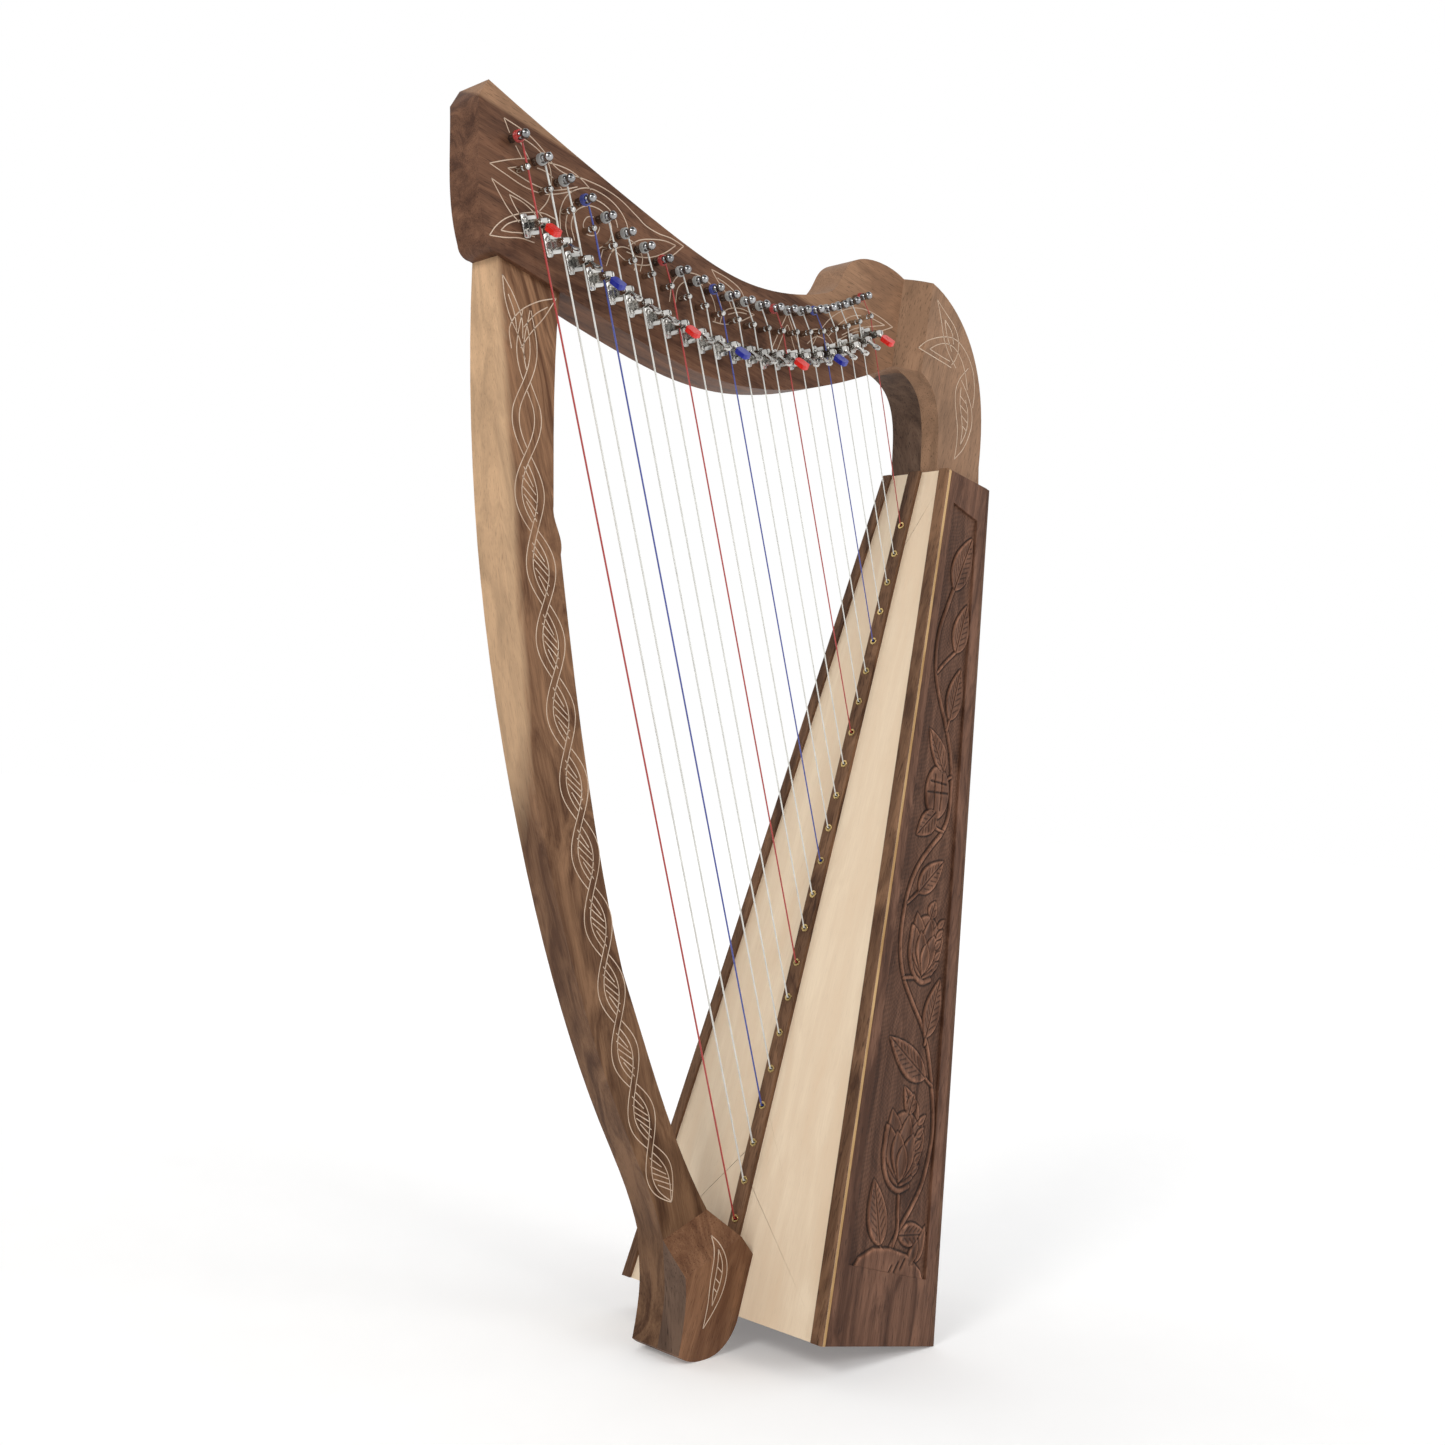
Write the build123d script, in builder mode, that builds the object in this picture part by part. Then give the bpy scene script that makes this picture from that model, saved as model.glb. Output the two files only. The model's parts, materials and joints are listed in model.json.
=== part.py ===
"""Small lever harp with 22 strings: walnut frame, light soundboard, a sharping lever on every string.

The harp stands on z = 0, on the rounded foot of its pillar and the rear bottom edge of its soundbox.
X runs from the pillar to the player, Y to the player's right and Z up. Millimetres.
"""

import os
from math import atan2, cos, hypot, radians, sin, sqrt, tan

from build123d import *

os.makedirs("parts", exist_ok=True)

# Strings
STRINGS = 22
C_STRINGS = (0, 7, 14, 21)
F_STRINGS = (3, 10, 17)
LOWEST_RADIUS, HIGHEST_RADIUS = 0.62, 0.36
FIRST_HOLE, HOLE_PITCH, PITCH_BEND = 60.0, 24.95, 0.063
LONGEST_STRING, LENGTH_STEP, LENGTH_BEND = 698.0, 35.2, 0.45
STRING_LEAN, LEAN_STEP, LEAN_BEND = 21.4, 0.08, 0.003

# Soundbox: a tapering box whose face leans back; all depths are measured square to that face
FACE_LEAN = 15.0
BOARD_LENGTH, BOARD_THICK = 630.0, 3.0
HALF_WIDTH_LOW, HALF_WIDTH_HIGH = 94.0, 31.7
DEPTH_LOW, DEPTH_HIGH = 125.0, 54.6
END_RISE_LOW, END_RISE_HIGH = 9.8, 8.9
SIDE_THICK, BACK_THICK, BASE_THICK = 6.0, 4.0, 9.0
FACE_BOTTOM_X = 29.6
RIB_WIDTH, RIB_THICK, RIB_START = 11.0, 3.0, 48.5
INNER_RIB_WIDTH, INNER_RIB_THICK = 14.0, 4.0
TRIM_WIDTH, TRIM_THICK = 8.5, 2.4
FIELD_DEPTH = 2.6
TOP_BLOCK_LENGTH = 38.0
LINING, LINING_LOW, LINING_HIGH = 7.0, 22.0, 588.0
GLUE_GAP = 0.2
SOUND_HOLES = ((140.0, 34.0, 52.0), (300.0, 27.0, 42.0), (440.0, 19.0, 31.0))
BRACES = (222.0, 372.0)

# Frame: neck, pillar and shoulder share their right-hand face
FRAME_RIGHT = 24.0
NECK_LEFT, PILLAR_LEFT, CHEEK_LEFT = -4.0, 0.0, -20.0
NECK_END_X = -247.7
TENON = (30.0, 12.0, 18.0)

# Hardware
EYELET_RADIUS, EYELET_BORE, EYELET_FLANGE, FLANGE_THICK = 1.9, 1.4, 2.7, 0.5
BRIDGE_PIN_RADIUS, BRIDGE_GROOVE_RADIUS = 2.0, 1.5
BRIDGE_PIN_REACH, BRIDGE_PIN_SUNK = 10.5, 14.0
GROOVE_REACH = 7.0
TUNING_PIN_RADIUS, TUNING_CLEARANCE = 2.5, 0.04
TUNING_PIN_REACH, TUNING_BALL_RADIUS = 16.0, 2.9
KEY_SQUARE, KEY_LENGTH = 4.0, 12.0
COIL_REACH, COIL_TURNS = 4.4, 3
STRING_GAP = 0.35
PLATE_LEFT, PLATE_RIGHT, PLATE_HALF_HEIGHT, PLATE_THICK = -8.4, 3.6, 5.6, 1.4
EAR_THICK, EAR_RADIUS, PIVOT_REACH = 1.0, 2.3, 10.4
PIVOT_RADIUS, PIVOT_CLEARANCE = 0.9, 0.04
CAM_HALF_WIDTH, CAM_RADIUS, CAM_NOSE = 2.35, 1.85, 2.6
FRET_HEIGHT = 3.4
HANDLE_REST, HANDLE_TRAVEL = 50.0, 100.0
HANDLE_LENGTH, LOOP_RADIUS, LOOP_HOLE, HANDLE_THICK = 10.0, 3.1, 1.7, 1.3
NOSE_RADIUS, NECK_WIDTH, BLADE_WIDTH, BLADE_END = 1.2, 2.6, 3.4, 12.5
SLEEVE_START, SLEEVE_LENGTH, SLEEVE_WIDTH, SLEEVE_THICK, SLEEVE_GAP = 4.6, 10.5, 6.2, 3.4, 0.05
LEVER_SCREW_X, LEVER_SCREW_Y = -6.0, 3.4
LEVER_SCREW_RADIUS, LEVER_SCREW_HEAD, LEVER_SCREW_SUNK = 1.0, 1.75, 10.0
WOOD_SCREW_RADIUS, WOOD_SCREW_HEAD = 2.2, 4.2


def export(builder, name):
    """Label a finished piece and write it as its own file."""
    builder.part.label = name
    export_step(builder.part, f"parts/{name}.step")


# The soundboard's plane: local x runs along Y, local y up the board, local z back into the box.
lean_sin, lean_cos = sin(radians(FACE_LEAN)), cos(radians(FACE_LEAN))
FACE_BOTTOM_Z = DEPTH_LOW * lean_sin - END_RISE_LOW * lean_cos
FACE = Plane(
    origin=(FACE_BOTTOM_X, 0, FACE_BOTTOM_Z),
    x_dir=(0, 1, 0),
    z_dir=(lean_cos, 0, -lean_sin),
)


def on_box(up, back=0.0, across=0.0):
    """World point of the soundbox: up the face, back into the box, across toward +Y."""
    return FACE.from_local_coords(Vector(across, up, back))


def half_width(up):
    """Half the soundbox's width at a height up its face."""
    return HALF_WIDTH_LOW + (HALF_WIDTH_HIGH - HALF_WIDTH_LOW) * up / BOARD_LENGTH


def low_end(back):
    """How far up the sloping bottom cut lies at a depth."""
    return END_RISE_LOW * back / DEPTH_LOW


def high_end(back):
    """How far up the sloping top cut lies at a depth."""
    return BOARD_LENGTH + END_RISE_HIGH * back / DEPTH_HIGH


# The back's plane: local x along Y, local y up the back, local z inward.
back_run = BOARD_LENGTH + END_RISE_HIGH - END_RISE_LOW
back_slope = atan2(DEPTH_LOW - DEPTH_HIGH, back_run)
back_length = hypot(DEPTH_LOW - DEPTH_HIGH, back_run)
back_lean = radians(FACE_LEAN) - back_slope
BACK = Plane(
    origin=on_box(END_RISE_LOW, DEPTH_LOW),
    x_dir=(0, -1, 0),
    z_dir=(-cos(back_lean), 0, sin(back_lean)),
)


def back_depth(up, inset=0.0):
    """Depth of the back, or of a surface inset from it, at a height up the face."""
    return DEPTH_LOW - (up - END_RISE_LOW) * tan(back_slope) - inset / cos(back_slope)


def back_half_width(along):
    """Half the back's width at a distance along it."""
    return half_width(END_RISE_LOW + along * cos(back_slope))


# The side panels' outer planes: local x up the edge, local z outward.
taper = atan2(HALF_WIDTH_LOW - HALF_WIDTH_HIGH, BOARD_LENGTH)


def side_plane(side):
    """Outer plane of a side panel; side is -1 for the left one and 1 for the right one."""
    edge_low, edge_high = on_box(0, 0, side * HALF_WIDTH_LOW), on_box(BOARD_LENGTH, 0, side * HALF_WIDTH_HIGH)
    along = (edge_high - edge_low).normalized()
    return Plane(origin=edge_low, x_dir=along, z_dir=along.cross(FACE.z_dir) * side)


def on_side(side, up, back):
    """Local point of a side panel's sketch at a height up the face and a depth."""
    return (up / cos(taper), side * back)


# Strings: hole in the soundboard, bend over the bridge pin, and end at the tuning pin
def string_radius(i):
    return LOWEST_RADIUS + (HIGHEST_RADIUS - LOWEST_RADIUS) * i / (STRINGS - 1)


def string_hole(i):
    return FIRST_HOLE + HOLE_PITCH * i - PITCH_BEND * i * (i - STRINGS + 1)


def string_length(i):
    return LONGEST_STRING - LENGTH_STEP * i + LENGTH_BEND * i * i


def string_lean(i):
    return radians(STRING_LEAN + LEAN_STEP * i + LEAN_BEND * i * i)


def string_mouth(i):
    """Where the string bends out of its eyelet."""
    return on_box(string_hole(i), -(RIB_THICK + FLANGE_THICK + string_radius(i) + 0.15))


def string_bend(i):
    """Where the string bends round its bridge pin."""
    mouth, length, lean = string_mouth(i), string_length(i), string_lean(i)
    return Vector(mouth.X - length * sin(lean), NECK_LEFT - GROOVE_REACH, mouth.Z + length * cos(lean))


def bridge_pin_centre(i):
    """Bridge pin's axis, just to the pillar's side of the string."""
    offset = BRIDGE_GROOVE_RADIUS + string_radius(i) + 0.03
    bend, lean = string_bend(i), string_lean(i)
    return Vector(bend.X - offset * cos(lean), NECK_LEFT, bend.Z - offset * sin(lean))


def tuning_pin_centre(i):
    bend = string_bend(i)
    return Vector(bend.X - 8.5 - 0.13 * i, NECK_LEFT, bend.Z + 15.8 - 0.22 * i)


def string_end(i):
    """Where the straight part of the string stops, just short of the coil on its tuning pin."""
    bend, pin, radius = string_bend(i), tuning_pin_centre(i), string_radius(i)
    reach = hypot(pin.X - bend.X, pin.Z - bend.Z)
    wrap = TUNING_PIN_RADIUS + radius
    tangent = sqrt(reach**2 - wrap**2)
    clear = TUNING_PIN_RADIUS + 2 * radius + STRING_GAP + radius
    travel = tangent - sqrt(clear**2 - wrap**2)
    turn = atan2(pin.Z - bend.Z, pin.X - bend.X) - atan2(wrap, tangent)
    height = NECK_LEFT - COIL_REACH - 2 * radius
    return Vector(
        bend.X + travel * cos(turn),
        bend.Y + (height - bend.Y) * travel / tangent,
        bend.Z + travel * sin(turn),
    )


def lever_plane(i):
    """Lever's place on the neck: local x across the strings, local y up the string, local z outward."""
    bend, lean = string_bend(i), string_lean(i)
    drop = 8 + 0.035 * string_length(i)
    origin = (bend.X + drop * sin(lean), NECK_LEFT, bend.Z - drop * cos(lean))
    return Plane(origin=origin, x_dir=(cos(lean), 0, sin(lean)), z_dir=(0, -1, 0))


def side_view(y):
    """Plane looking along Y at one depth: local x is world X, local y is world Z."""
    return Plane(origin=(0, y, 0), x_dir=(1, 0, 0), z_dir=(0, -1, 0))


# Corners where the pieces of the frame meet
JOINT_LOW, JOINT_HIGH = (149.5, 704.0), (157.3, 773.6)
box_top_front = on_box(BOARD_LENGTH)
box_top_back = on_box(high_end(DEPTH_HIGH), DEPTH_HIGH)
SHOULDER_FRONT = (box_top_front.X, box_top_front.Z)
SHOULDER_BACK = (box_top_back.X, box_top_back.Z)
foot_rear_low, foot_rear_high = on_box(0), on_box(41.0)
FOOT_LOW, FOOT_HIGH = (foot_rear_low.X, foot_rear_low.Z), (foot_rear_high.X, foot_rear_high.Z)
MITRE_FRONT, MITRE_REAR = (-26.9, 76.7), (13.1, 91.5)
TENON_CENTRE = (-197.0, 12.0, 674.0)
WOOD_SCREWS_FOOT = ((-10.0, 20.0), (12.0, 20.0))
WOOD_SCREWS_TOP = (-9.0, 13.0)


def wood_screw(head_at, direction, length, drive=True):
    """Countersunk wood screw, or the bore it leaves, from the underside of its head."""
    with BuildPart(Plane(origin=head_at, z_dir=direction)) as screw:
        Cone(
            WOOD_SCREW_HEAD,
            WOOD_SCREW_RADIUS,
            WOOD_SCREW_HEAD - WOOD_SCREW_RADIUS,
            align=(Align.CENTER, Align.CENTER, Align.MIN),
        )
        Cylinder(WOOD_SCREW_RADIUS, length, align=(Align.CENTER, Align.CENTER, Align.MIN))
        if drive:
            for turn in (0, 90):
                Box(4.4, 0.9, 1.8, rotation=(0, 0, turn), mode=Mode.SUBTRACT)
    return screw.part


def wood_screw_places():
    """Head position, direction and length of the four long screws of the frame."""
    for across, up in WOOD_SCREWS_FOOT:
        yield on_box(up, 18.0, across), FACE.z_dir * -1, 42.0
    for across in WOOD_SCREWS_TOP:
        yield on_box(BOARD_LENGTH - TOP_BLOCK_LENGTH + 1.5, 27.0, across), FACE.y_dir, 66.0


def wood_screw_bores():
    """Bores of the four long screws."""
    return [wood_screw(*place, drive=False) for place in wood_screw_places()]


def neck_outline():
    """Side view of the neck."""
    with BuildSketch() as outline:
        with BuildLine():
            top = Spline(
                (-241.7, 776.5), (-192, 761), (-135, 745), (-79, 730.6), (-19, 721.4), (30, 726), (72, 739)
            )
            hump = Spline(top @ 1, (83, 750), (91, 764), (120, 777), JOINT_HIGH)
            Line(hump @ 1, JOINT_LOW)
            low = Spline(JOINT_LOW, (100, 681), (48.9, 662.5), (0, 651.3), (-42, 648.6))
            under = Spline(low @ 1, (-85, 652.2), (-126, 659), (-225, 678), tangents=[(-1, 0), (-1, 0.16)])
            corner = ThreePointArc(under @ 1, (-231.5, 680), (-234.5, 685))
            end = Spline(corner @ 1, (-241, 705), (-245.5, 740), (NECK_END_X, 765))
            Line(end @ 1, top @ 0)
        make_face()
    return outline.sketch


def shoulder_outline():
    """Side view of the shoulder, from the neck's end down to the top of the soundbox."""
    with BuildSketch() as outline:
        with BuildLine():
            inner = Spline(
                SHOULDER_FRONT, (191.4, 655), (188.5, 675.8), (179.5, 692.3), (163.5, 701.5), JOINT_LOW
            )
            Line(inner @ 1, JOINT_HIGH)
            outer = Spline(
                JOINT_HIGH, (181, 770), (204, 758.6), (225, 738.8), (240, 710.5), (246.6, 674), (246.2, 645)
            )
            Line(outer @ 1, SHOULDER_BACK)
            Line(SHOULDER_BACK, SHOULDER_FRONT)
        make_face()
    return outline.sketch


def foot_outline(upper_edge):
    """Side view of the foot below an upper edge that runs from the soundboard to the pillar's front."""
    with BuildSketch() as outline:
        with BuildLine():
            front = Spline(MITRE_FRONT, (-24.4, 60), (-22.2, 44), (-22.5, 28), (-25.4, 6.8))
            bottom = Spline(front @ 1, (-13, 0.9), (-2, 0), (11, 2.2), (22, 9.6), FOOT_LOW)
            Line(bottom @ 1, FOOT_HIGH)
            Polyline(FOOT_HIGH, *upper_edge, MITRE_FRONT)
        make_face()
    return outline.sketch


def pillar_outline():
    """Side view of the pillar above its foot; its top runs on into the neck."""
    with BuildSketch() as outline:
        with BuildLine():
            low = Spline(MITRE_REAR, (-16.5, 134), (-54.7, 203.3), (-80, 253))
            high = Spline(low @ 1, (-102, 312), (-119.4, 367.2), (-132.9, 414.4), (-145, 461), (-157, 510))
            step = Spline(high @ 1, (-159.3, 522), (-164, 531), (-165.6, 539))
            inner = Spline(step @ 1, (-169.5, 580), (-172.4, 620), (-173.2, 675))
            Line(inner @ 1, (-223, 685))
            Spline(
                (-223, 685), (-220, 633), (-213.6, 575.3), (-200, 496.7), (-178.1, 411),
                (-143.9, 309.6), (-109.8, 229.4), (-66, 148.2), (-41.5, 108), MITRE_FRONT,
            )  # fmt: skip
            Line(MITRE_FRONT, MITRE_REAR)
        make_face()
    return outline.sketch


def box_slice(corners, inset):
    """Piece of the soundbox between its sides, from (up, back) corners seen from the side."""
    with BuildPart() as piece:
        with BuildSketch(side_view(0)):
            points = [on_box(up, back) for up, back in corners]
            Polygon(*[(point.X, point.Z) for point in points], align=None)
        extrude(amount=HALF_WIDTH_LOW, both=True)
        with BuildSketch(FACE):
            low = half_width(-20) - inset / cos(taper)
            top = BOARD_LENGTH + 20
            high = half_width(top) - inset / cos(taper)
            Polygon((-low, -20), (low, -20), (high, top), (-high, top), align=None)
        extrude(amount=2 * DEPTH_LOW, mode=Mode.INTERSECT)
    return piece.part


# Depths where the back panel's inner face meets the two sloping end cuts
inner_back = DEPTH_LOW + END_RISE_LOW * tan(back_slope) - BACK_THICK / cos(back_slope)
back_low_inner = inner_back / (1 + END_RISE_LOW * tan(back_slope) / DEPTH_LOW)
back_high_inner = (inner_back - BOARD_LENGTH * tan(back_slope)) / (
    1 + END_RISE_HIGH * tan(back_slope) / DEPTH_HIGH
)


# ---------------------------------------------------------------- wooden frame

with BuildPart() as neck:
    with BuildSketch(side_view(NECK_LEFT)):
        add(neck_outline())
    extrude(amount=NECK_LEFT - FRAME_RIGHT)
    with Locations(TENON_CENTRE):
        Box(*TENON, align=(Align.CENTER, Align.CENTER, Align.MIN), mode=Mode.SUBTRACT)
    for i in range(STRINGS):
        tuning, bridge = tuning_pin_centre(i), bridge_pin_centre(i)
        with Locations((tuning.X, (NECK_LEFT + FRAME_RIGHT) / 2, tuning.Z)):
            Cylinder(
                TUNING_PIN_RADIUS + TUNING_CLEARANCE, 60, rotation=(90, 0, 0), mode=Mode.SUBTRACT
            )
        with Locations((bridge.X, NECK_LEFT, bridge.Z)):
            Cylinder(
                BRIDGE_PIN_RADIUS, 2 * BRIDGE_PIN_SUNK, rotation=(90, 0, 0), mode=Mode.SUBTRACT
            )
        with Locations(lever_plane(i)):
            with Locations((LEVER_SCREW_X, LEVER_SCREW_Y, 0), (LEVER_SCREW_X, -LEVER_SCREW_Y, 0)):
                Cylinder(LEVER_SCREW_RADIUS, 2 * LEVER_SCREW_SUNK, mode=Mode.SUBTRACT)
export(neck, "neck")

with BuildPart() as pillar:
    with BuildSketch(side_view(PILLAR_LEFT)):
        add(pillar_outline())
        add(foot_outline([MITRE_REAR]))
    extrude(amount=PILLAR_LEFT - FRAME_RIGHT)
    with BuildSketch(side_view(NECK_LEFT)):
        add(neck_outline())
    extrude(amount=NECK_LEFT - FRAME_RIGHT, mode=Mode.SUBTRACT)
    with Locations(TENON_CENTRE):
        Box(*TENON, align=(Align.CENTER, Align.CENTER, Align.MIN))
    add(wood_screw_bores(), mode=Mode.SUBTRACT)
export(pillar, "pillar")

with BuildPart() as shoulder_block:
    with BuildSketch(side_view(NECK_LEFT)):
        add(shoulder_outline())
    extrude(amount=NECK_LEFT - FRAME_RIGHT)
    add(wood_screw_bores(), mode=Mode.SUBTRACT)
export(shoulder_block, "shoulder_block")

# Two cheeks widen the frame to the left where it meets the soundbox. Each thins out to nothing at its
# upper end: the shoulder's toward the neck, the foot's toward the pillar.
joint_lean = atan2(JOINT_HIGH[0] - JOINT_LOW[0], JOINT_HIGH[1] - JOINT_LOW[1])
mitre_lean = atan2(MITRE_REAR[1] - MITRE_FRONT[1], MITRE_REAR[0] - MITRE_FRONT[0])

with BuildPart() as cheek_blocks:
    with BuildSketch(side_view(CHEEK_LEFT)):
        add(shoulder_outline())
    extrude(amount=CHEEK_LEFT - NECK_LEFT)
    shoulder_ramp = Plane(
        origin=(JOINT_LOW[0], NECK_LEFT, JOINT_LOW[1]),
        x_dir=(sin(joint_lean), 0, cos(joint_lean)),
        z_dir=(-cos(joint_lean), -1, sin(joint_lean)),
    )
    with BuildSketch(shoulder_ramp):
        Rectangle(400, 400)
    extrude(amount=60, mode=Mode.SUBTRACT)
    with BuildSketch(side_view(CHEEK_LEFT)):
        add(foot_outline([MITRE_REAR]))
    extrude(amount=CHEEK_LEFT - PILLAR_LEFT)
    foot_ramp = Plane(
        origin=(MITRE_FRONT[0], PILLAR_LEFT, MITRE_FRONT[1]),
        x_dir=(cos(mitre_lean), 0, sin(mitre_lean)),
        z_dir=(-sin(mitre_lean), -1, cos(mitre_lean)),
    )
    with BuildSketch(foot_ramp):
        Rectangle(130, 130)
    extrude(amount=50, mode=Mode.SUBTRACT)
    add(wood_screw_bores(), mode=Mode.SUBTRACT)
export(cheek_blocks, "cheek_blocks")

# ---------------------------------------------------------------- soundbox


def string_bores():
    """The row of holes through the face of the soundbox, one for each string's eyelet."""
    with BuildPart() as bores:
        with BuildSketch(FACE.offset(-RIB_THICK)):
            with Locations(*[(0, string_hole(i)) for i in range(STRINGS)]):
                Circle(EYELET_RADIUS)
        extrude(amount=RIB_THICK + BOARD_THICK + INNER_RIB_THICK)
    return bores.part


def board_outline(inset=0.0):
    """The tapering face of the soundbox."""
    low, high = HALF_WIDTH_LOW - inset, HALF_WIDTH_HIGH - inset
    Polygon((-low, 0), (low, 0), (high, BOARD_LENGTH), (-high, BOARD_LENGTH), align=None)


with BuildPart() as soundboard:
    with BuildSketch(FACE):
        board_outline()
    extrude(amount=BOARD_THICK)
    add(string_bores(), mode=Mode.SUBTRACT)
    add(wood_screw_bores(), mode=Mode.SUBTRACT)
export(soundboard, "soundboard")

with BuildPart() as soundboard_strips:
    with BuildSketch(FACE):
        for side in (-1, 1):
            Polygon(
                (side * HALF_WIDTH_LOW, 0),
                (side * (HALF_WIDTH_LOW - TRIM_WIDTH), 0),
                (side * (HALF_WIDTH_HIGH - TRIM_WIDTH), BOARD_LENGTH),
                (side * HALF_WIDTH_HIGH, BOARD_LENGTH),
                align=None,
            )
    extrude(amount=-TRIM_THICK)
    outer_corners = soundboard_strips.edges().filter_by(
        lambda edge: abs(abs(FACE.to_local_coords(edge @ 0.5).X) - half_width(BOARD_LENGTH / 2)) < 0.1
        and FACE.to_local_coords(edge @ 0.5).Z < -TRIM_THICK / 2
    )
    fillet(outer_corners, 1.6)
    with BuildSketch(FACE):
        with BuildLine():
            Polyline(
                (RIB_WIDTH / 2, BOARD_LENGTH), (-RIB_WIDTH / 2, BOARD_LENGTH), (-RIB_WIDTH / 2, RIB_START + 2)
            )
            ThreePointArc((-RIB_WIDTH / 2, RIB_START + 2), (0, RIB_START), (RIB_WIDTH / 2, RIB_START + 2))
            Line((RIB_WIDTH / 2, RIB_START + 2), (RIB_WIDTH / 2, BOARD_LENGTH))
        make_face()
    extrude(amount=-RIB_THICK)
    add(string_bores(), mode=Mode.SUBTRACT)
export(soundboard_strips, "soundboard_strips")


def side_panel(side):
    """One side of the soundbox with the sunk field that the carving stands in."""
    with BuildPart() as panel:
        with BuildSketch(side_plane(side)):
            Polygon(
                on_side(side, low_end(BOARD_THICK), BOARD_THICK),
                on_side(side, low_end(back_low_inner), back_low_inner),
                on_side(side, high_end(back_high_inner), back_high_inner),
                on_side(side, high_end(BOARD_THICK), BOARD_THICK),
                align=None,
            )
        extrude(amount=-SIDE_THICK)
        with BuildSketch(side_plane(side)):
            Polygon(
                on_side(side, 52, 15),
                on_side(side, 52, 105),
                on_side(side, 607, 44),
                on_side(side, 607, 11),
                align=None,
            )
        extrude(amount=-FIELD_DEPTH, mode=Mode.SUBTRACT)
    return panel


export(side_panel(-1), "side_panel_left")
export(side_panel(1), "side_panel_right")

with BuildPart() as back_panel:
    add(
        box_slice(
            (
                (low_end(DEPTH_LOW), DEPTH_LOW),
                (high_end(DEPTH_HIGH), DEPTH_HIGH),
                (high_end(back_high_inner), back_high_inner),
                (low_end(back_low_inner), back_low_inner),
            ),
            inset=0,
        )
    )
    with BuildSketch(BACK.offset(-1)):
        for along, wide, tall in SOUND_HOLES:
            with Locations((0, along)):
                Ellipse(wide, tall)
    extrude(amount=BACK_THICK + 2, mode=Mode.SUBTRACT)
export(back_panel, "back_panel")

with BuildPart() as base_panel:
    base_top = low_end(back_low_inner) + BASE_THICK
    add(
        box_slice(
            (
                (low_end(BOARD_THICK), BOARD_THICK),
                (low_end(back_low_inner), back_low_inner),
                (base_top, back_depth(base_top, BACK_THICK)),
                (low_end(BOARD_THICK) + BASE_THICK, BOARD_THICK),
            ),
            inset=SIDE_THICK,
        )
    )
export(base_panel, "base_panel")

with BuildPart() as inner_frame:
    # top block, closing the box and holding the shoulder
    block_low = BOARD_LENGTH - TOP_BLOCK_LENGTH
    add(
        box_slice(
            (
                (block_low, BOARD_THICK),
                (block_low, back_depth(block_low, BACK_THICK)),
                (high_end(back_high_inner), back_high_inner),
                (high_end(BOARD_THICK), BOARD_THICK),
            ),
            inset=SIDE_THICK,
        )
    )
    # foot block behind the soundboard
    with BuildSketch(FACE.offset(BOARD_THICK)):
        with Locations((1, 28)):
            Rectangle(62, 30)
    extrude(amount=15)
    # strip under the string holes
    with BuildSketch(FACE.offset(BOARD_THICK)):
        with Locations((0, 317)):
            Rectangle(INNER_RIB_WIDTH, 540)
    extrude(amount=INNER_RIB_THICK)
    add(string_bores(), mode=Mode.SUBTRACT)
    # linings in the four long corners
    for side in (-1, 1):
        with BuildSketch(side_plane(side).offset(-SIDE_THICK - GLUE_GAP)):
            front, rear = BOARD_THICK + GLUE_GAP, BACK_THICK + GLUE_GAP
            Polygon(
                on_side(side, LINING_LOW, front),
                on_side(side, LINING_LOW, front + LINING),
                on_side(side, LINING_HIGH, front + LINING),
                on_side(side, LINING_HIGH, front),
                align=None,
            )
            Polygon(
                on_side(side, LINING_LOW, back_depth(LINING_LOW, rear)),
                on_side(side, LINING_LOW, back_depth(LINING_LOW, rear + LINING)),
                on_side(side, LINING_HIGH, back_depth(LINING_HIGH, rear + LINING)),
                on_side(side, LINING_HIGH, back_depth(LINING_HIGH, rear)),
                align=None,
            )
        extrude(amount=-LINING)
    # braces across the back, between the sound holes
    with BuildSketch(BACK.offset(BACK_THICK + GLUE_GAP)):
        for along in BRACES:
            with Locations((0, along)):
                Rectangle(2 * (back_half_width(along) - SIDE_THICK - LINING - 3), 10)
    extrude(amount=9)
    add(wood_screw_bores(), mode=Mode.SUBTRACT)
export(inner_frame, "inner_frame")

# ---------------------------------------------------------------- strings and their fixed hardware

with BuildPart() as strings:
    for i in range(STRINGS):
        radius = string_radius(i)
        inside = on_box(string_hole(i), BOARD_THICK + INNER_RIB_THICK + 2.6)
        with BuildLine() as route:
            Polyline(inside, string_mouth(i), string_bend(i), string_end(i))
        with BuildSketch(Plane(origin=inside, z_dir=FACE.z_dir * -1)):
            Circle(radius)
        sweep(path=route.wires()[0], transition=Transition.RIGHT)
        with Locations(inside):
            Sphere(2.3)
export(strings, "strings")

with BuildPart() as string_eyelets:
    for i in range(STRINGS):
        with BuildSketch(FACE.offset(-RIB_THICK)):
            with Locations((0, string_hole(i))):
                Circle(EYELET_RADIUS)
        extrude(amount=RIB_THICK + BOARD_THICK + INNER_RIB_THICK)
        with BuildSketch(FACE.offset(-RIB_THICK)):
            with Locations((0, string_hole(i))):
                Circle(EYELET_FLANGE)
        extrude(amount=-FLANGE_THICK)
    with BuildSketch(FACE.offset(-RIB_THICK - 2)):
        with Locations(*[(0, string_hole(i)) for i in range(STRINGS)]):
            Circle(EYELET_BORE)
    extrude(amount=20, mode=Mode.SUBTRACT)
export(string_eyelets, "string_eyelets")

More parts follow.
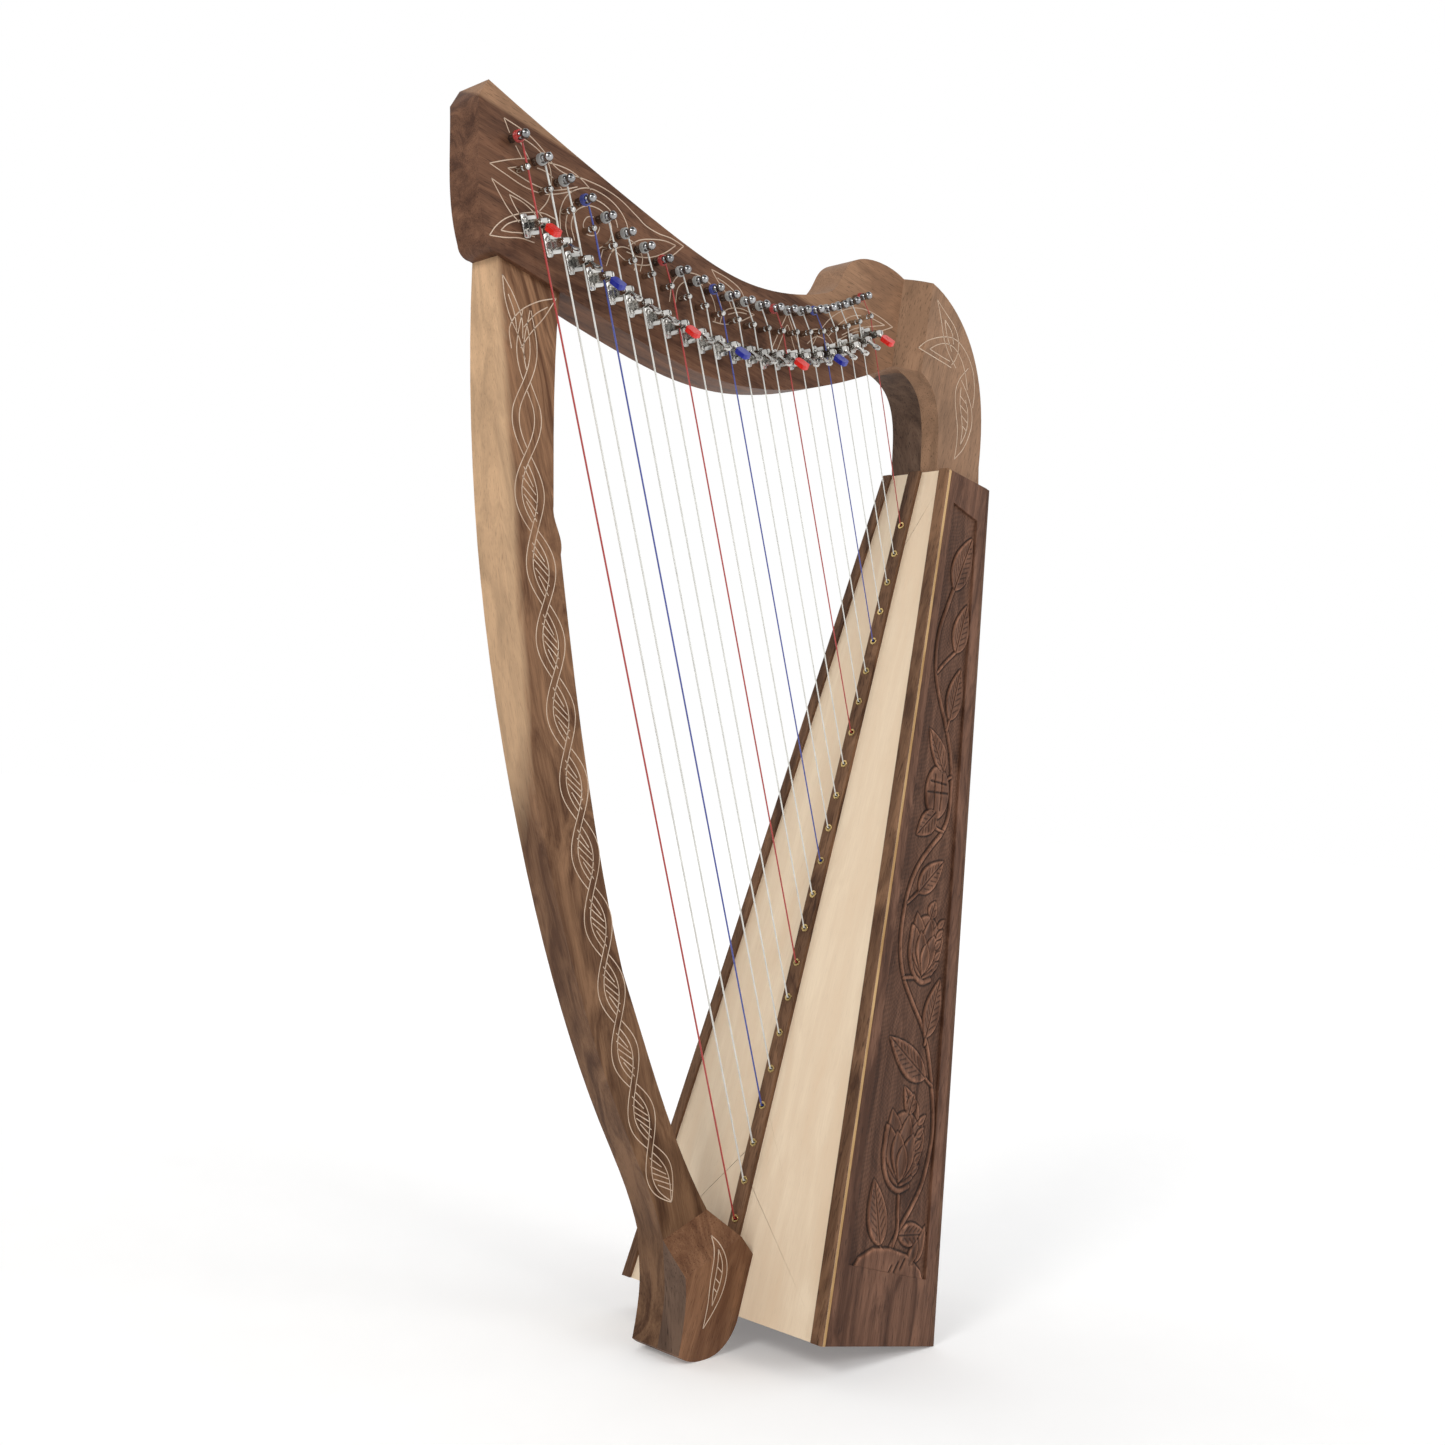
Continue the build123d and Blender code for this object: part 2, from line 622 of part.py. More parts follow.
with BuildPart() as bridge_pins:
    for i in range(STRINGS):
        centre = bridge_pin_centre(i)
        with BuildSketch(Plane(origin=centre, x_dir=(1, 0, 0), z_dir=(0, 0, 1))):
            with BuildLine():
                Polyline(
                    (0, BRIDGE_PIN_SUNK),
                    (BRIDGE_PIN_RADIUS, BRIDGE_PIN_SUNK),
                    (BRIDGE_PIN_RADIUS, 1.2 - GROOVE_REACH),
                    (BRIDGE_GROOVE_RADIUS, 0.7 - GROOVE_REACH),
                    (BRIDGE_GROOVE_RADIUS, -0.7 - GROOVE_REACH),
                    (BRIDGE_PIN_RADIUS, -1.2 - GROOVE_REACH),
                    (BRIDGE_PIN_RADIUS, 0.8 - BRIDGE_PIN_REACH),
                    (BRIDGE_PIN_RADIUS - 0.8, -BRIDGE_PIN_REACH),
                    (0, -BRIDGE_PIN_REACH),
                    close=True,
                )
            make_face()
        revolve(axis=Axis(centre, (0, 1, 0)))
export(bridge_pins, "bridge_pins")

# ---------------------------------------------------------------- levers, drawn once at the origin

# Local x runs across the strings, local y up the string and local z out of the neck.
with BuildPart() as bracket:
    with BuildSketch():
        with Locations(((PLATE_LEFT + PLATE_RIGHT) / 2, 0)):
            RectangleRounded(PLATE_RIGHT - PLATE_LEFT, 2 * PLATE_HALF_HEIGHT, 1.2)
        with Locations((LEVER_SCREW_X, LEVER_SCREW_Y), (LEVER_SCREW_X, -LEVER_SCREW_Y)):
            Circle(LEVER_SCREW_RADIUS, mode=Mode.SUBTRACT)
    extrude(amount=PLATE_THICK)
    for start in (PLATE_RIGHT - EAR_THICK, -PLATE_RIGHT):
        with BuildSketch(Plane.YZ.offset(start)):
            with BuildLine():
                Line((-EAR_RADIUS - 1, PLATE_THICK), (EAR_RADIUS + 1, PLATE_THICK))
                Line((EAR_RADIUS + 1, PLATE_THICK), (EAR_RADIUS, PIVOT_REACH))
                ThreePointArc(
                    (EAR_RADIUS, PIVOT_REACH), (0, PIVOT_REACH + EAR_RADIUS), (-EAR_RADIUS, PIVOT_REACH)
                )
                Line((-EAR_RADIUS, PIVOT_REACH), (-EAR_RADIUS - 1, PLATE_THICK))
            make_face()
            with Locations((0, PIVOT_REACH)):
                Circle(PIVOT_RADIUS + PIVOT_CLEARANCE, mode=Mode.SUBTRACT)
        extrude(amount=EAR_THICK)
    with Locations((0, 1.5, PLATE_THICK)):
        Box(
            2 * PLATE_RIGHT,
            1.6,
            FRET_HEIGHT,
            align=(Align.CENTER, Align.CENTER, Align.MIN),
        )


# The handle's plane at rest: local x runs out along the handle.
handle_along = Vector(0, -cos(radians(HANDLE_REST)), sin(radians(HANDLE_REST)))
HANDLE_PLANE = Plane(
    origin=(0, 0, PIVOT_REACH), x_dir=handle_along, z_dir=handle_along.cross(Vector(1, 0, 0))
)


def lever_shape(sleeved):
    """Cam, pivot pin and handle; the handle ends in a loop, or in a flat blade that carries a sleeve."""
    nose_turn = radians(270 - HANDLE_TRAVEL - HANDLE_REST)
    nose = CAM_NOSE - NOSE_RADIUS
    with BuildPart() as shape:
        with BuildSketch(
            Plane(origin=(-CAM_HALF_WIDTH, 0, PIVOT_REACH), x_dir=handle_along, z_dir=(1, 0, 0))
        ):
            Circle(CAM_RADIUS)
            with Locations((nose * cos(nose_turn), -nose * sin(nose_turn))):
                Circle(NOSE_RADIUS)
            make_hull()
        extrude(amount=2 * CAM_HALF_WIDTH)
        with Locations((0, 0, PIVOT_REACH)):
            Cylinder(PIVOT_RADIUS, 2 * PLATE_RIGHT + 0.8, rotation=(0, 90, 0))
        with BuildSketch(HANDLE_PLANE.offset(-HANDLE_THICK / 2)):
            Rectangle(HANDLE_LENGTH - LOOP_RADIUS + 0.6, NECK_WIDTH, align=(Align.MIN, Align.CENTER))
            if sleeved:
                with Locations((SLEEVE_START - 0.6, 0)):
                    Rectangle(BLADE_END - SLEEVE_START + 0.6, BLADE_WIDTH, align=(Align.MIN, Align.CENTER))
            else:
                with Locations((HANDLE_LENGTH, 0)):
                    Circle(LOOP_RADIUS)
                    Circle(LOOP_HOLE, mode=Mode.SUBTRACT)
        extrude(amount=HANDLE_THICK)
    return shape.part


lever_with_blade, lever_with_loop = lever_shape(True), lever_shape(False)

# Plastic sleeve pushed over the blade of the C and F levers
with BuildPart() as sleeve:
    with BuildSketch(HANDLE_PLANE.offset(-SLEEVE_THICK / 2)):
        with Locations((SLEEVE_START + SLEEVE_LENGTH / 2, 0)):
            RectangleRounded(SLEEVE_LENGTH, SLEEVE_WIDTH, 2)
    extrude(amount=SLEEVE_THICK)
    with BuildSketch(HANDLE_PLANE.offset(-HANDLE_THICK / 2 - SLEEVE_GAP)):
        Rectangle(BLADE_END + SLEEVE_GAP, BLADE_WIDTH + 2 * SLEEVE_GAP, align=(Align.MIN, Align.CENTER))
    extrude(amount=HANDLE_THICK + 2 * SLEEVE_GAP, mode=Mode.SUBTRACT)

with BuildPart() as lever_brackets:
    for i in range(STRINGS):
        add(bracket.part.moved(lever_plane(i).location))
export(lever_brackets, "lever_brackets")

for i in range(STRINGS):
    place, sleeved = lever_plane(i).location, i in C_STRINGS + F_STRINGS
    with BuildPart() as lever:
        add((lever_with_blade if sleeved else lever_with_loop).moved(place))
        if sleeved:
            add(sleeve.part.moved(place))
    export(lever, f"lever_{i + 1:02d}")

with BuildPart() as screws:
    for i in range(STRINGS):
        with Locations(lever_plane(i)):
            with Locations(
                (LEVER_SCREW_X, LEVER_SCREW_Y, PLATE_THICK), (LEVER_SCREW_X, -LEVER_SCREW_Y, PLATE_THICK)
            ):
                Cylinder(LEVER_SCREW_HEAD, 0.9, align=(Align.CENTER, Align.CENTER, Align.MIN))
                Cylinder(
                    LEVER_SCREW_RADIUS,
                    PLATE_THICK + LEVER_SCREW_SUNK,
                    align=(Align.CENTER, Align.CENTER, Align.MAX),
                )
    for place, direction, length in wood_screw_places():
        add(wood_screw(place, direction, length))
export(screws, "screws")

# ---------------------------------------------------------------- tuning pins

for i in range(STRINGS):
    centre, radius = tuning_pin_centre(i), string_radius(i)
    with BuildPart() as tuning_pin:
        with BuildSketch(Plane(origin=centre, x_dir=(1, 0, 0), z_dir=(0, 0, 1))):
            with BuildLine():
                ball = sqrt(TUNING_BALL_RADIUS**2 - TUNING_PIN_RADIUS**2)
                Polyline(
                    (0, -TUNING_PIN_REACH),
                    (0, FRAME_RIGHT - NECK_LEFT + 3),
                    (TUNING_PIN_RADIUS, FRAME_RIGHT - NECK_LEFT + 3),
                    (TUNING_PIN_RADIUS, TUNING_BALL_RADIUS + ball - TUNING_PIN_REACH),
                )
                ThreePointArc(
                    (TUNING_PIN_RADIUS, TUNING_BALL_RADIUS + ball - TUNING_PIN_REACH),
                    (TUNING_BALL_RADIUS, TUNING_BALL_RADIUS - TUNING_PIN_REACH),
                    (0, -TUNING_PIN_REACH),
                )
            make_face()
        revolve(axis=Axis(centre, (0, 1, 0)))
        with Locations((centre.X, FRAME_RIGHT + 3, centre.Z)):
            Box(KEY_SQUARE, KEY_LENGTH, KEY_SQUARE, align=(Align.CENTER, Align.MIN, Align.CENTER))
        coil_length = 2 * radius * COIL_TURNS
        with Locations((centre.X, NECK_LEFT - COIL_REACH, centre.Z)):
            Cylinder(
                TUNING_PIN_RADIUS + 2 * radius,
                coil_length,
                rotation=(90, 0, 0),
                align=(Align.CENTER, Align.CENTER, Align.MIN),
            )
    export(tuning_pin, f"tuning_pin_{i + 1:02d}")
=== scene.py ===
"""Looks of the small lever harp: wood, inlay, carving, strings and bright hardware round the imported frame."""

import json
import math

import bpy
import numpy as np
from mathutils import Matrix, Vector


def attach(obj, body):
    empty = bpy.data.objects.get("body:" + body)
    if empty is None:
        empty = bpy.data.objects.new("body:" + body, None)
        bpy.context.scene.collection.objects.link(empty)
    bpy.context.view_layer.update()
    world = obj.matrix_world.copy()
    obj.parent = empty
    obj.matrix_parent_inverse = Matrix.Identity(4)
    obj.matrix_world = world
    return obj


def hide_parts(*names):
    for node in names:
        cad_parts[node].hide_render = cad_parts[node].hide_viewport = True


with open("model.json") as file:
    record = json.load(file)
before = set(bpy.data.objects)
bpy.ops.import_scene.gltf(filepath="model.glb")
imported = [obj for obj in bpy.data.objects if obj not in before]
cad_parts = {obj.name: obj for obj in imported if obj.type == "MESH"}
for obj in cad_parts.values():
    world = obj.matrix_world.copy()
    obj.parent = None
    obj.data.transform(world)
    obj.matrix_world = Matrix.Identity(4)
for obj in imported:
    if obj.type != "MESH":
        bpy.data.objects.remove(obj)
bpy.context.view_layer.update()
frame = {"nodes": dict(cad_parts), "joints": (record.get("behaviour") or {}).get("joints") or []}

MM = 0.001
BODY = "harp_frame"
STRINGS = 22
C_STRINGS, F_STRINGS = (0, 7, 14, 21), (3, 10, 17)
LOWEST_RADIUS, HIGHEST_RADIUS = 0.62, 0.36

# ---------------------------------------------------------------- camera, lights and floor


CAMERA_PLACE = (-0.79401, -0.7617, 0.35614)
CAMERA_RIGHT, CAMERA_UP = (0.68966, -0.72093, 0.06808), (-0.08907, 0.00885, 0.99599)
LENS_LENGTH, SENSOR_WIDTH = 40.32, 36.0


def place_camera():
    """Camera about a metre off the harp's left front corner, near the height of its middle."""
    data = bpy.data.cameras.new("camera")
    data.lens, data.sensor_width = LENS_LENGTH, SENSOR_WIDTH
    camera = bpy.data.objects.new("camera", data)
    right, up = Vector(CAMERA_RIGHT), Vector(CAMERA_UP)
    back = right.cross(up).normalized()
    up = back.cross(right).normalized()
    turn = Matrix((right, up, back)).transposed().to_4x4()
    camera.matrix_world = Matrix.Translation(CAMERA_PLACE) @ turn
    bpy.context.scene.collection.objects.link(camera)
    bpy.context.scene.camera = camera


def area_light(name, place, target, size, power, colour=(1, 1, 1)):
    data = bpy.data.lights.new(name, "AREA")
    data.shape, data.size, data.energy, data.color = "DISK", size, power, colour
    light = bpy.data.objects.new(name, data)
    light.location = place
    light.rotation_mode = "QUATERNION"
    light.rotation_quaternion = (Vector(target) - Vector(place)).to_track_quat("-Z", "Y")
    bpy.context.scene.collection.objects.link(light)


def card(name, corners, material):
    """Flat panel of the studio, seen only as a reflection or as the floor."""
    mesh = bpy.data.meshes.new(name)
    mesh.from_pydata([Vector(corner) for corner in corners], [], [(0, 1, 2, 3)])
    panel = bpy.data.objects.new(name, mesh)
    panel.data.materials.append(material)
    bpy.context.scene.collection.objects.link(panel)


place_camera()

# ---------------------------------------------------------------- node trees


class Tree:
    """A material's node tree, with its surface shader ready."""

    def __init__(self, name, **surface):
        self.material = bpy.data.materials.new(name)
        self.material.use_nodes = True
        self.tree = self.material.node_tree
        self.tree.nodes.clear()
        self.shader = self.add("BsdfPrincipled", surface)
        output = self.add("OutputMaterial")
        self.tree.links.new(self.shader.outputs[0], output.inputs["Surface"])

    def add(self, kind, inputs=None, **settings):
        node = self.tree.nodes.new("ShaderNode" + kind)
        for key, value in settings.items():
            setattr(node, key, value)
        for key, value in (inputs or {}).items():
            self.plug(node.inputs[key], value)
        return node

    def plug(self, socket, value):
        if isinstance(value, bpy.types.Node):
            value = value.outputs[0]
        if isinstance(value, bpy.types.NodeSocket):
            self.tree.links.new(value, socket)
        else:
            socket.default_value = value

    def math(self, operation, a, b=0.0, c=0.0, clamp=False):
        return self.add("Math", {0: a, 1: b, 2: c}, operation=operation, use_clamp=clamp)

    def noise(self, vector, detail=2.0, roughness=0.5, scale=1.0):
        made = {"Vector": vector, "Scale": scale, "Detail": detail, "Roughness": roughness}
        return self.add("TexNoise", made).outputs[0]

    def ramp(self, value, *stops):
        node = self.add("ValToRGB", {0: value})
        elements = node.color_ramp.elements
        while len(elements) < len(stops):
            elements.new(0.5)
        for element, (position, colour) in zip(elements, stops):
            element.position = position
            element.color = (*colour, 1)
        return node

    def mix(self, amount, a, b, blend="MIX"):
        return self.add("MixRGB", {0: amount, 1: a, 2: b}, blend_type=blend)

    def place(self):
        """Where a point is on its own object."""
        return self.add("TexCoord").outputs["Object"]

    def along(self, axis):
        """How far along an axis a point is."""
        dot = self.add("VectorMath", {0: self.place(), 1: axis}, operation="DOT_PRODUCT")
        return dot.outputs["Value"]

    def stretched(self, axes, scales):
        """Object coordinates along three axes, each with its own scale."""
        parts = {}
        for index, (axis, scale) in enumerate(zip(axes, scales)):
            parts[index] = self.math("MULTIPLY", self.along(axis), scale)
        return self.add("CombineXYZ", parts)


def grey(value):
    return (value, value, value)


def scaled(colour, share):
    return tuple(min(1.0, channel * share) for channel in colour)


def wood(name, grain, dark, light, zones=(), fade=None, pores=0.5, rings=1.0, shine=0.12, carving_shade=False):
    """Solid wood whose figure runs along grain.

    zones are (direction, offset, softness, colour): paler or darker wood beyond a plane.
    fade is (low, high, share): from the high level down to the low one, the colour darkens to that share.
    the last argument paints shade into the hollows of a carving and light onto its ridges, from a tone
    attribute on its mesh; the dark in the hollows is partly painted shade and partly finish built up there.
    """
    tree = Tree(name)
    grain = Vector(grain).normalized()
    side = grain.cross(Vector((0, 1, 0))).normalized()
    axes = (grain, side, grain.cross(side))
    wander = tree.noise(tree.stretched(axes, (5, 16, 16)), 2)
    bend = tree.math("MULTIPLY", tree.math("SUBTRACT", wander, 0.5), 9.0 * rings)
    place = tree.add("VectorMath", {0: tree.stretched(axes, (3, 120, 70)), 1: bend}, operation="ADD")
    streaks = tree.noise(place, 5, 0.62)
    wide_place = tree.add("VectorMath", {0: tree.stretched(axes, (1.2, 45, 30)), 1: bend}, operation="ADD")
    late = tree.noise(wide_place, 3)
    fibre = tree.noise(tree.stretched(axes, (45, 1100, 1100)), 2)
    pore = tree.noise(tree.stretched(axes, (110, 1500, 1500)), 1)
    broad = tree.math("MULTIPLY_ADD", late, 0.34, tree.math("MULTIPLY", fibre, 0.16))
    tone = tree.math("MULTIPLY_ADD", streaks, 0.58, broad)
    middle = tuple((a + b) / 2 * 0.97 for a, b in zip(dark, light))
    colour = tree.ramp(tone, (0.43, dark), (0.54, middle), (0.65, light))
    for direction, offset, softness, zone_colour in zones:
        drift = tree.math("MULTIPLY_ADD", streaks, 2.2 * softness, offset - 1.1 * softness)
        edge = tree.math("SUBTRACT", tree.along(direction), drift)
        amount = tree.math("DIVIDE", edge, softness, clamp=True)
        figure = tree.ramp(tone, (0.42, scaled(zone_colour, 0.76)), (0.66, scaled(zone_colour, 1.14)))
        colour = tree.mix(amount, colour, figure)
    if fade:
        low_end, high_end, share = fade
        span = {0: tree.along((0, 0, 1)), 1: low_end, 2: high_end, 3: share, 4: 1.0}
        level = tree.add("MapRange", span)
        shade = tree.add("CombineColor", {0: level, 1: level, 2: level})
        colour = tree.mix(1.0, colour, shade, "MULTIPLY")
    holes = tree.ramp(pore, (0.60, grey(1)), (0.70, grey(1 - pores)))
    colour = tree.mix(1.0, colour, holes, "MULTIPLY")
    if carving_shade:
        # painted shade in the carving's hollows and painted light on its ridges; the dark in the hollows also
        # stands for finish gathered there
        hollow_shade_and_finish = tree.add("Attribute", attribute_name="carved_tone").outputs["Fac"]
        shade = tree.ramp(hollow_shade_and_finish, (0.0, grey(0.22)), (0.5, grey(0.9)), (1.0, grey(1.75)))
        colour = tree.mix(1.0, colour, shade, "MULTIPLY")
    relief = tree.math("MULTIPLY_ADD", pore, -0.6, tree.math("MULTIPLY", fibre, 0.5))
    bump = tree.add("Bump", {"Height": relief, "Strength": 0.22, "Distance": 0.0004})
    rough = tree.math("MULTIPLY_ADD", streaks, 0.25, 0.38)
    surface = {"Base Color": colour, "Roughness": rough, "Normal": bump, "Specular IOR Level": shine}
    for key, value in surface.items():
        tree.plug(tree.shader.inputs[key], value)
    return tree.material


def metal(name, colour, roughness):
    """Plated metal with faint handling marks."""
    tree = Tree(name, **{"Metallic": 1.0})
    place = tree.place()
    marks = tree.noise(place, 4, 0.6, 260)
    dull = tree.noise(place, 2, 0.5, 45)
    tone = tree.ramp(dull, (0.38, scaled(colour, 0.6)), (0.62, colour))
    tree.plug(tree.shader.inputs["Base Color"], tone)
    tree.plug(tree.shader.inputs["Roughness"], tree.math("MULTIPLY_ADD", marks, 0.22, roughness - 0.08))
    bump = tree.add("Bump", {"Height": marks, "Strength": 0.06, "Distance": 0.0003})
    tree.plug(tree.shader.inputs["Normal"], bump)
    return tree.material


def plastic(name, colour, roughness, coat):
    """Moulded or drawn plastic with a faint unevenness."""
    tree = Tree(name, **{"Coat Weight": coat})
    cloud = tree.noise(tree.place(), 3, 0.5, 120)
    tone = tree.ramp(cloud, (0.3, scaled(colour, 0.86)), (0.7, colour))
    tree.plug(tree.shader.inputs["Base Color"], tone)
    tree.plug(tree.shader.inputs["Roughness"], tree.math("MULTIPLY_ADD", cloud, 0.18, roughness - 0.09))
    return tree.material


# ---------------------------------------------------------------- materials

UP_BOARD = Vector((0.25882, 0, 0.96593))
UP_SIDE = Vector((0.25756, 0.09841, 0.96124))
UP_PILLAR = Vector((-0.33, 0, 0.944))
WALNUT_DARK, WALNUT_LIGHT = (0.066, 0.027, 0.0145), (0.190, 0.090, 0.050)
TAN_DARK, TAN_LIGHT = (0.110, 0.047, 0.022), (0.330, 0.175, 0.092)
SAPWOOD = (0.56, 0.36, 0.21)

walnut_neck = wood(
    "walnut_neck", (1, 0, -0.12), WALNUT_DARK, WALNUT_LIGHT,
    zones=(
        ((0.122, -0.42, 0.899), 0.6582, 0.0022, (0.33, 0.185, 0.105)),
        ((1, 0, 0.2), 0.252, 0.022, (0.25, 0.132, 0.072)),
    ),
)
walnut_pillar = wood(
    "walnut_pillar", UP_PILLAR, TAN_DARK, TAN_LIGHT,
    zones=(((-0.97, 0.24, -0.17), 0.0965, 0.006, SAPWOOD),), fade=(0.08, 0.62, 0.56), pores=0.22, rings=1.3,
)
walnut_shoulder = wood("walnut_shoulder", (-0.15, 0, 1), (0.13, 0.062, 0.033), (0.34, 0.19, 0.108))
walnut_cheek = wood(
    "walnut_cheek", (0.3, 0, 1), (0.120, 0.052, 0.026), (0.245, 0.122, 0.064),
    zones=(((0, 0, 1), 0.4, 0.05, (0.285, 0.165, 0.098)),),
)
walnut_side = wood("walnut_side", UP_SIDE, WALNUT_DARK, (0.190, 0.092, 0.056))
walnut_carved = wood("walnut_carved", UP_SIDE, WALNUT_DARK, (0.195, 0.094, 0.057), carving_shade=True)
walnut_strip = wood("walnut_strip", UP_BOARD, (0.075, 0.036, 0.020), (0.235, 0.125, 0.068))
walnut_back = wood("walnut_back", (0.2, 0, 1), WALNUT_DARK, (0.150, 0.080, 0.048))
birch = wood("birch", UP_BOARD, (0.80, 0.62, 0.435), (0.88, 0.72, 0.53), pores=0.05, rings=0.4, shine=0.3)
maple = wood("maple", UP_BOARD, (0.46, 0.31, 0.17), (0.60, 0.44, 0.27), pores=0.1)
end_grain = wood("end_grain", (0.1, 0.2, 1), (0.070, 0.040, 0.027), (0.150, 0.092, 0.062))
edge_amber = wood("edge_amber", UP_BOARD, (0.36, 0.20, 0.075), (0.56, 0.36, 0.17), pores=0.2)
inlay_wood = wood("inlay_wood", (1, 0, 0), (0.50, 0.36, 0.26), (0.66, 0.52, 0.40), pores=0.1)
nickel = metal("nickel", (0.66, 0.645, 0.615), 0.15)
pin_steel = metal("pin_steel", (0.40, 0.40, 0.405), 0.2)
coiled_nylon = plastic("coiled_nylon", (0.40, 0.40, 0.385), 0.3, 0.2)
zinc = metal("zinc", (0.62, 0.60, 0.56), 0.26)
shadow_metal = metal("shadow_metal", (0.10, 0.095, 0.09), 0.4)
brass = metal("brass", (0.83, 0.60, 0.25), 0.24)
clear_nylon = plastic("clear_nylon", (0.72, 0.72, 0.68), 0.25, 0.3)
red_nylon = plastic("red_nylon", (0.42, 0.035, 0.03), 0.3, 0.3)
blue_nylon = plastic("blue_nylon", (0.055, 0.075, 0.33), 0.3, 0.3)
red_sleeve = plastic("red_sleeve", (0.72, 0.016, 0.010), 0.28, 0.4)
blue_sleeve = plastic("blue_sleeve", (0.012, 0.022, 0.30), 0.28, 0.4)


def by_note(i, red, blue, plain):
    """What the note of a string picks: red for C, blue for F and plain for the rest."""
    if i in C_STRINGS:
        return red
    return blue if i in F_STRINGS else plain


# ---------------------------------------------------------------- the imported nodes


def give(node, *materials):
    mesh = frame["nodes"][node].data
    mesh.materials.clear()
    for material in materials:
        mesh.materials.append(material)
    mesh.polygons.foreach_set("material_index", [0] * len(mesh.polygons))


def soften(obj, width, segments=2, angle=38):
    """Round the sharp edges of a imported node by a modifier; its own mesh stays as it is."""
    mesh = obj.data
    if "custom_normal" in mesh.attributes:
        mesh.attributes.remove(mesh.attributes["custom_normal"])
    mesh.polygons.foreach_set("use_smooth", [True] * len(mesh.polygons))
    weld = obj.modifiers.new("weld", "WELD")
    weld.merge_threshold = 1e-6
    bevel = obj.modifiers.new("bevel", "BEVEL")
    bevel.width, bevel.segments, bevel.limit_method = width * MM, segments, "ANGLE"
    bevel.angle_limit = math.radians(angle)
    obj.modifiers.new("normals", "WEIGHTED_NORMAL").weight = 80


WOODEN = {
    "neck": (walnut_neck, 1.1),
    "pillar": (walnut_pillar, 1.1),
    "shoulder_block": (walnut_shoulder, 0.9),
    "cheek_blocks": (walnut_cheek, 0.9),
    "soundboard": (birch, 0.25),
    "soundboard_strips": (walnut_strip, 0.4),
    "side_panel_left": (walnut_side, 0.4),
    "side_panel_right": (walnut_side, 0.4),
    "back_panel": (walnut_back, 0.7),
    "base_panel": (walnut_back, 0.5),
    "inner_frame": (maple, 0.4),
}
for node, (material, width) in WOODEN.items():
    give(node, material)
    soften(frame["nodes"][node], width, 3)


def face_material(node, material, toward, limit=0.9, test=None):
    """Give another material to the polygons of a node that look one way."""
    mesh = frame["nodes"][node].data
    mesh.materials.append(material)
    last = len(mesh.materials) - 1
    direction = Vector(toward).normalized()
    for polygon in mesh.polygons:
        if polygon.normal.dot(direction) > limit and (test is None or test(polygon.center)):
            polygon.material_index = last


face_material("cheek_blocks", end_grain, (-1, 0, 0.15), 0.85, lambda centre: centre.z < 0.2)
face_material("shoulder_block", end_grain, (-1, 0, -0.4), 0.6)
for edge in (-1, 1):
    face_material("soundboard", edge_amber, (0, edge, 0), 0.85)
for node, material, width in (
    ("lever_brackets", nickel, 0.22),
    ("bridge_pins", nickel, 0.2),
    ("screws", zinc, 0.25),
    ("string_eyelets", brass, 0.15),
):
    give(node, material)
    soften(frame["nodes"][node], width)

joints = {joint["name"]: joint for joint in frame["joints"]}
pivots = [Vector(joints[f"lever_{i + 1:02d}_flip"]["pos_m"]) for i in range(STRINGS)]
across = [-Vector(joints[f"lever_{i + 1:02d}_flip"]["axis"]) for i in range(STRINGS)]
pins = [Vector(joints[f"tuning_pin_{i + 1:02d}_turn"]["pos_m"]) for i in range(STRINGS)]
OUT_OF_NECK = Vector((0, -1, 0))
up_string = [OUT_OF_NECK.cross(axis) for axis in across]


def string_radius(i):
    return LOWEST_RADIUS + (HIGHEST_RADIUS - LOWEST_RADIUS) * i / (STRINGS - 1)


def colour_strings():
    """Each string takes the colour of its note: red for C, blue for F and clear for the rest."""
    mesh = frame["nodes"]["strings"].data
    give("strings", clear_nylon, red_nylon, blue_nylon)
    centres = np.zeros(3 * len(mesh.polygons))
    mesh.polygons.foreach_get("center", centres)
    centres = centres.reshape(-1, 3)
    best, owner = np.full(len(centres), 1e9), np.zeros(len(centres), int)
    for i, (pivot, x_axis) in enumerate(zip(pivots, across)):
        distance = np.abs((centres - np.array(pivot)) @ np.array(x_axis))
        owner[distance < best] = i
        best = np.minimum(best, distance)
    index = [by_note(i, 1, 2, 0) for i in owner]
    mesh.polygons.foreach_set("material_index", index)
    mesh.polygons.foreach_set("use_smooth", [True] * len(mesh.polygons))


colour_strings()

HANDLE_REST = math.radians(50)
BLADE_HALF_THICK, BLADE_HALF_WIDTH, BLADE_END, SLEEVE_START = 0.70, 1.74, 12.53, 4.55


def colour_levers():
    """Nickel levers; the sleeves on the C and F levers are red and blue."""
    for i in range(STRINGS):
        name = f"lever_{i + 1:02d}"
        sleeve = by_note(i, red_sleeve, blue_sleeve, None)
        give(name, nickel, sleeve or nickel)
        obj = frame["nodes"][name]
        if sleeve:
            along = -math.cos(HANDLE_REST) * up_string[i] + math.sin(HANDLE_REST) * OUT_OF_NECK
            normal = along.cross(across[i])
            for polygon in obj.data.polygons:
                local = (polygon.center - pivots[i]) / MM
                reach = local.dot(along)
                outside = (
                    abs(local.dot(normal)) > BLADE_HALF_THICK
                    or abs(local.dot(across[i])) > BLADE_HALF_WIDTH
                    or reach > BLADE_END
                )
                polygon.material_index = int(reach > SLEEVE_START and outside)
        soften(obj, 0.3)


colour_levers()

# ---------------------------------------------------------------- drawing helpers


def build(name, vertices, faces, material, body=BODY, smooth=True):
    """New piece from vertices in metres, riding on a body of the frame."""
    mesh = bpy.data.meshes.new(name)
    mesh.from_pydata(vertices, [], faces)
    mesh.update()
    materials = material if isinstance(material, (list, tuple)) else [material]
    for each in materials:
        mesh.materials.append(each)
    mesh.polygons.foreach_set("use_smooth", [smooth] * len(mesh.polygons))
    piece = bpy.data.objects.new(name, mesh)
    bpy.context.scene.collection.objects.link(piece)
    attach(piece, body)
    return piece


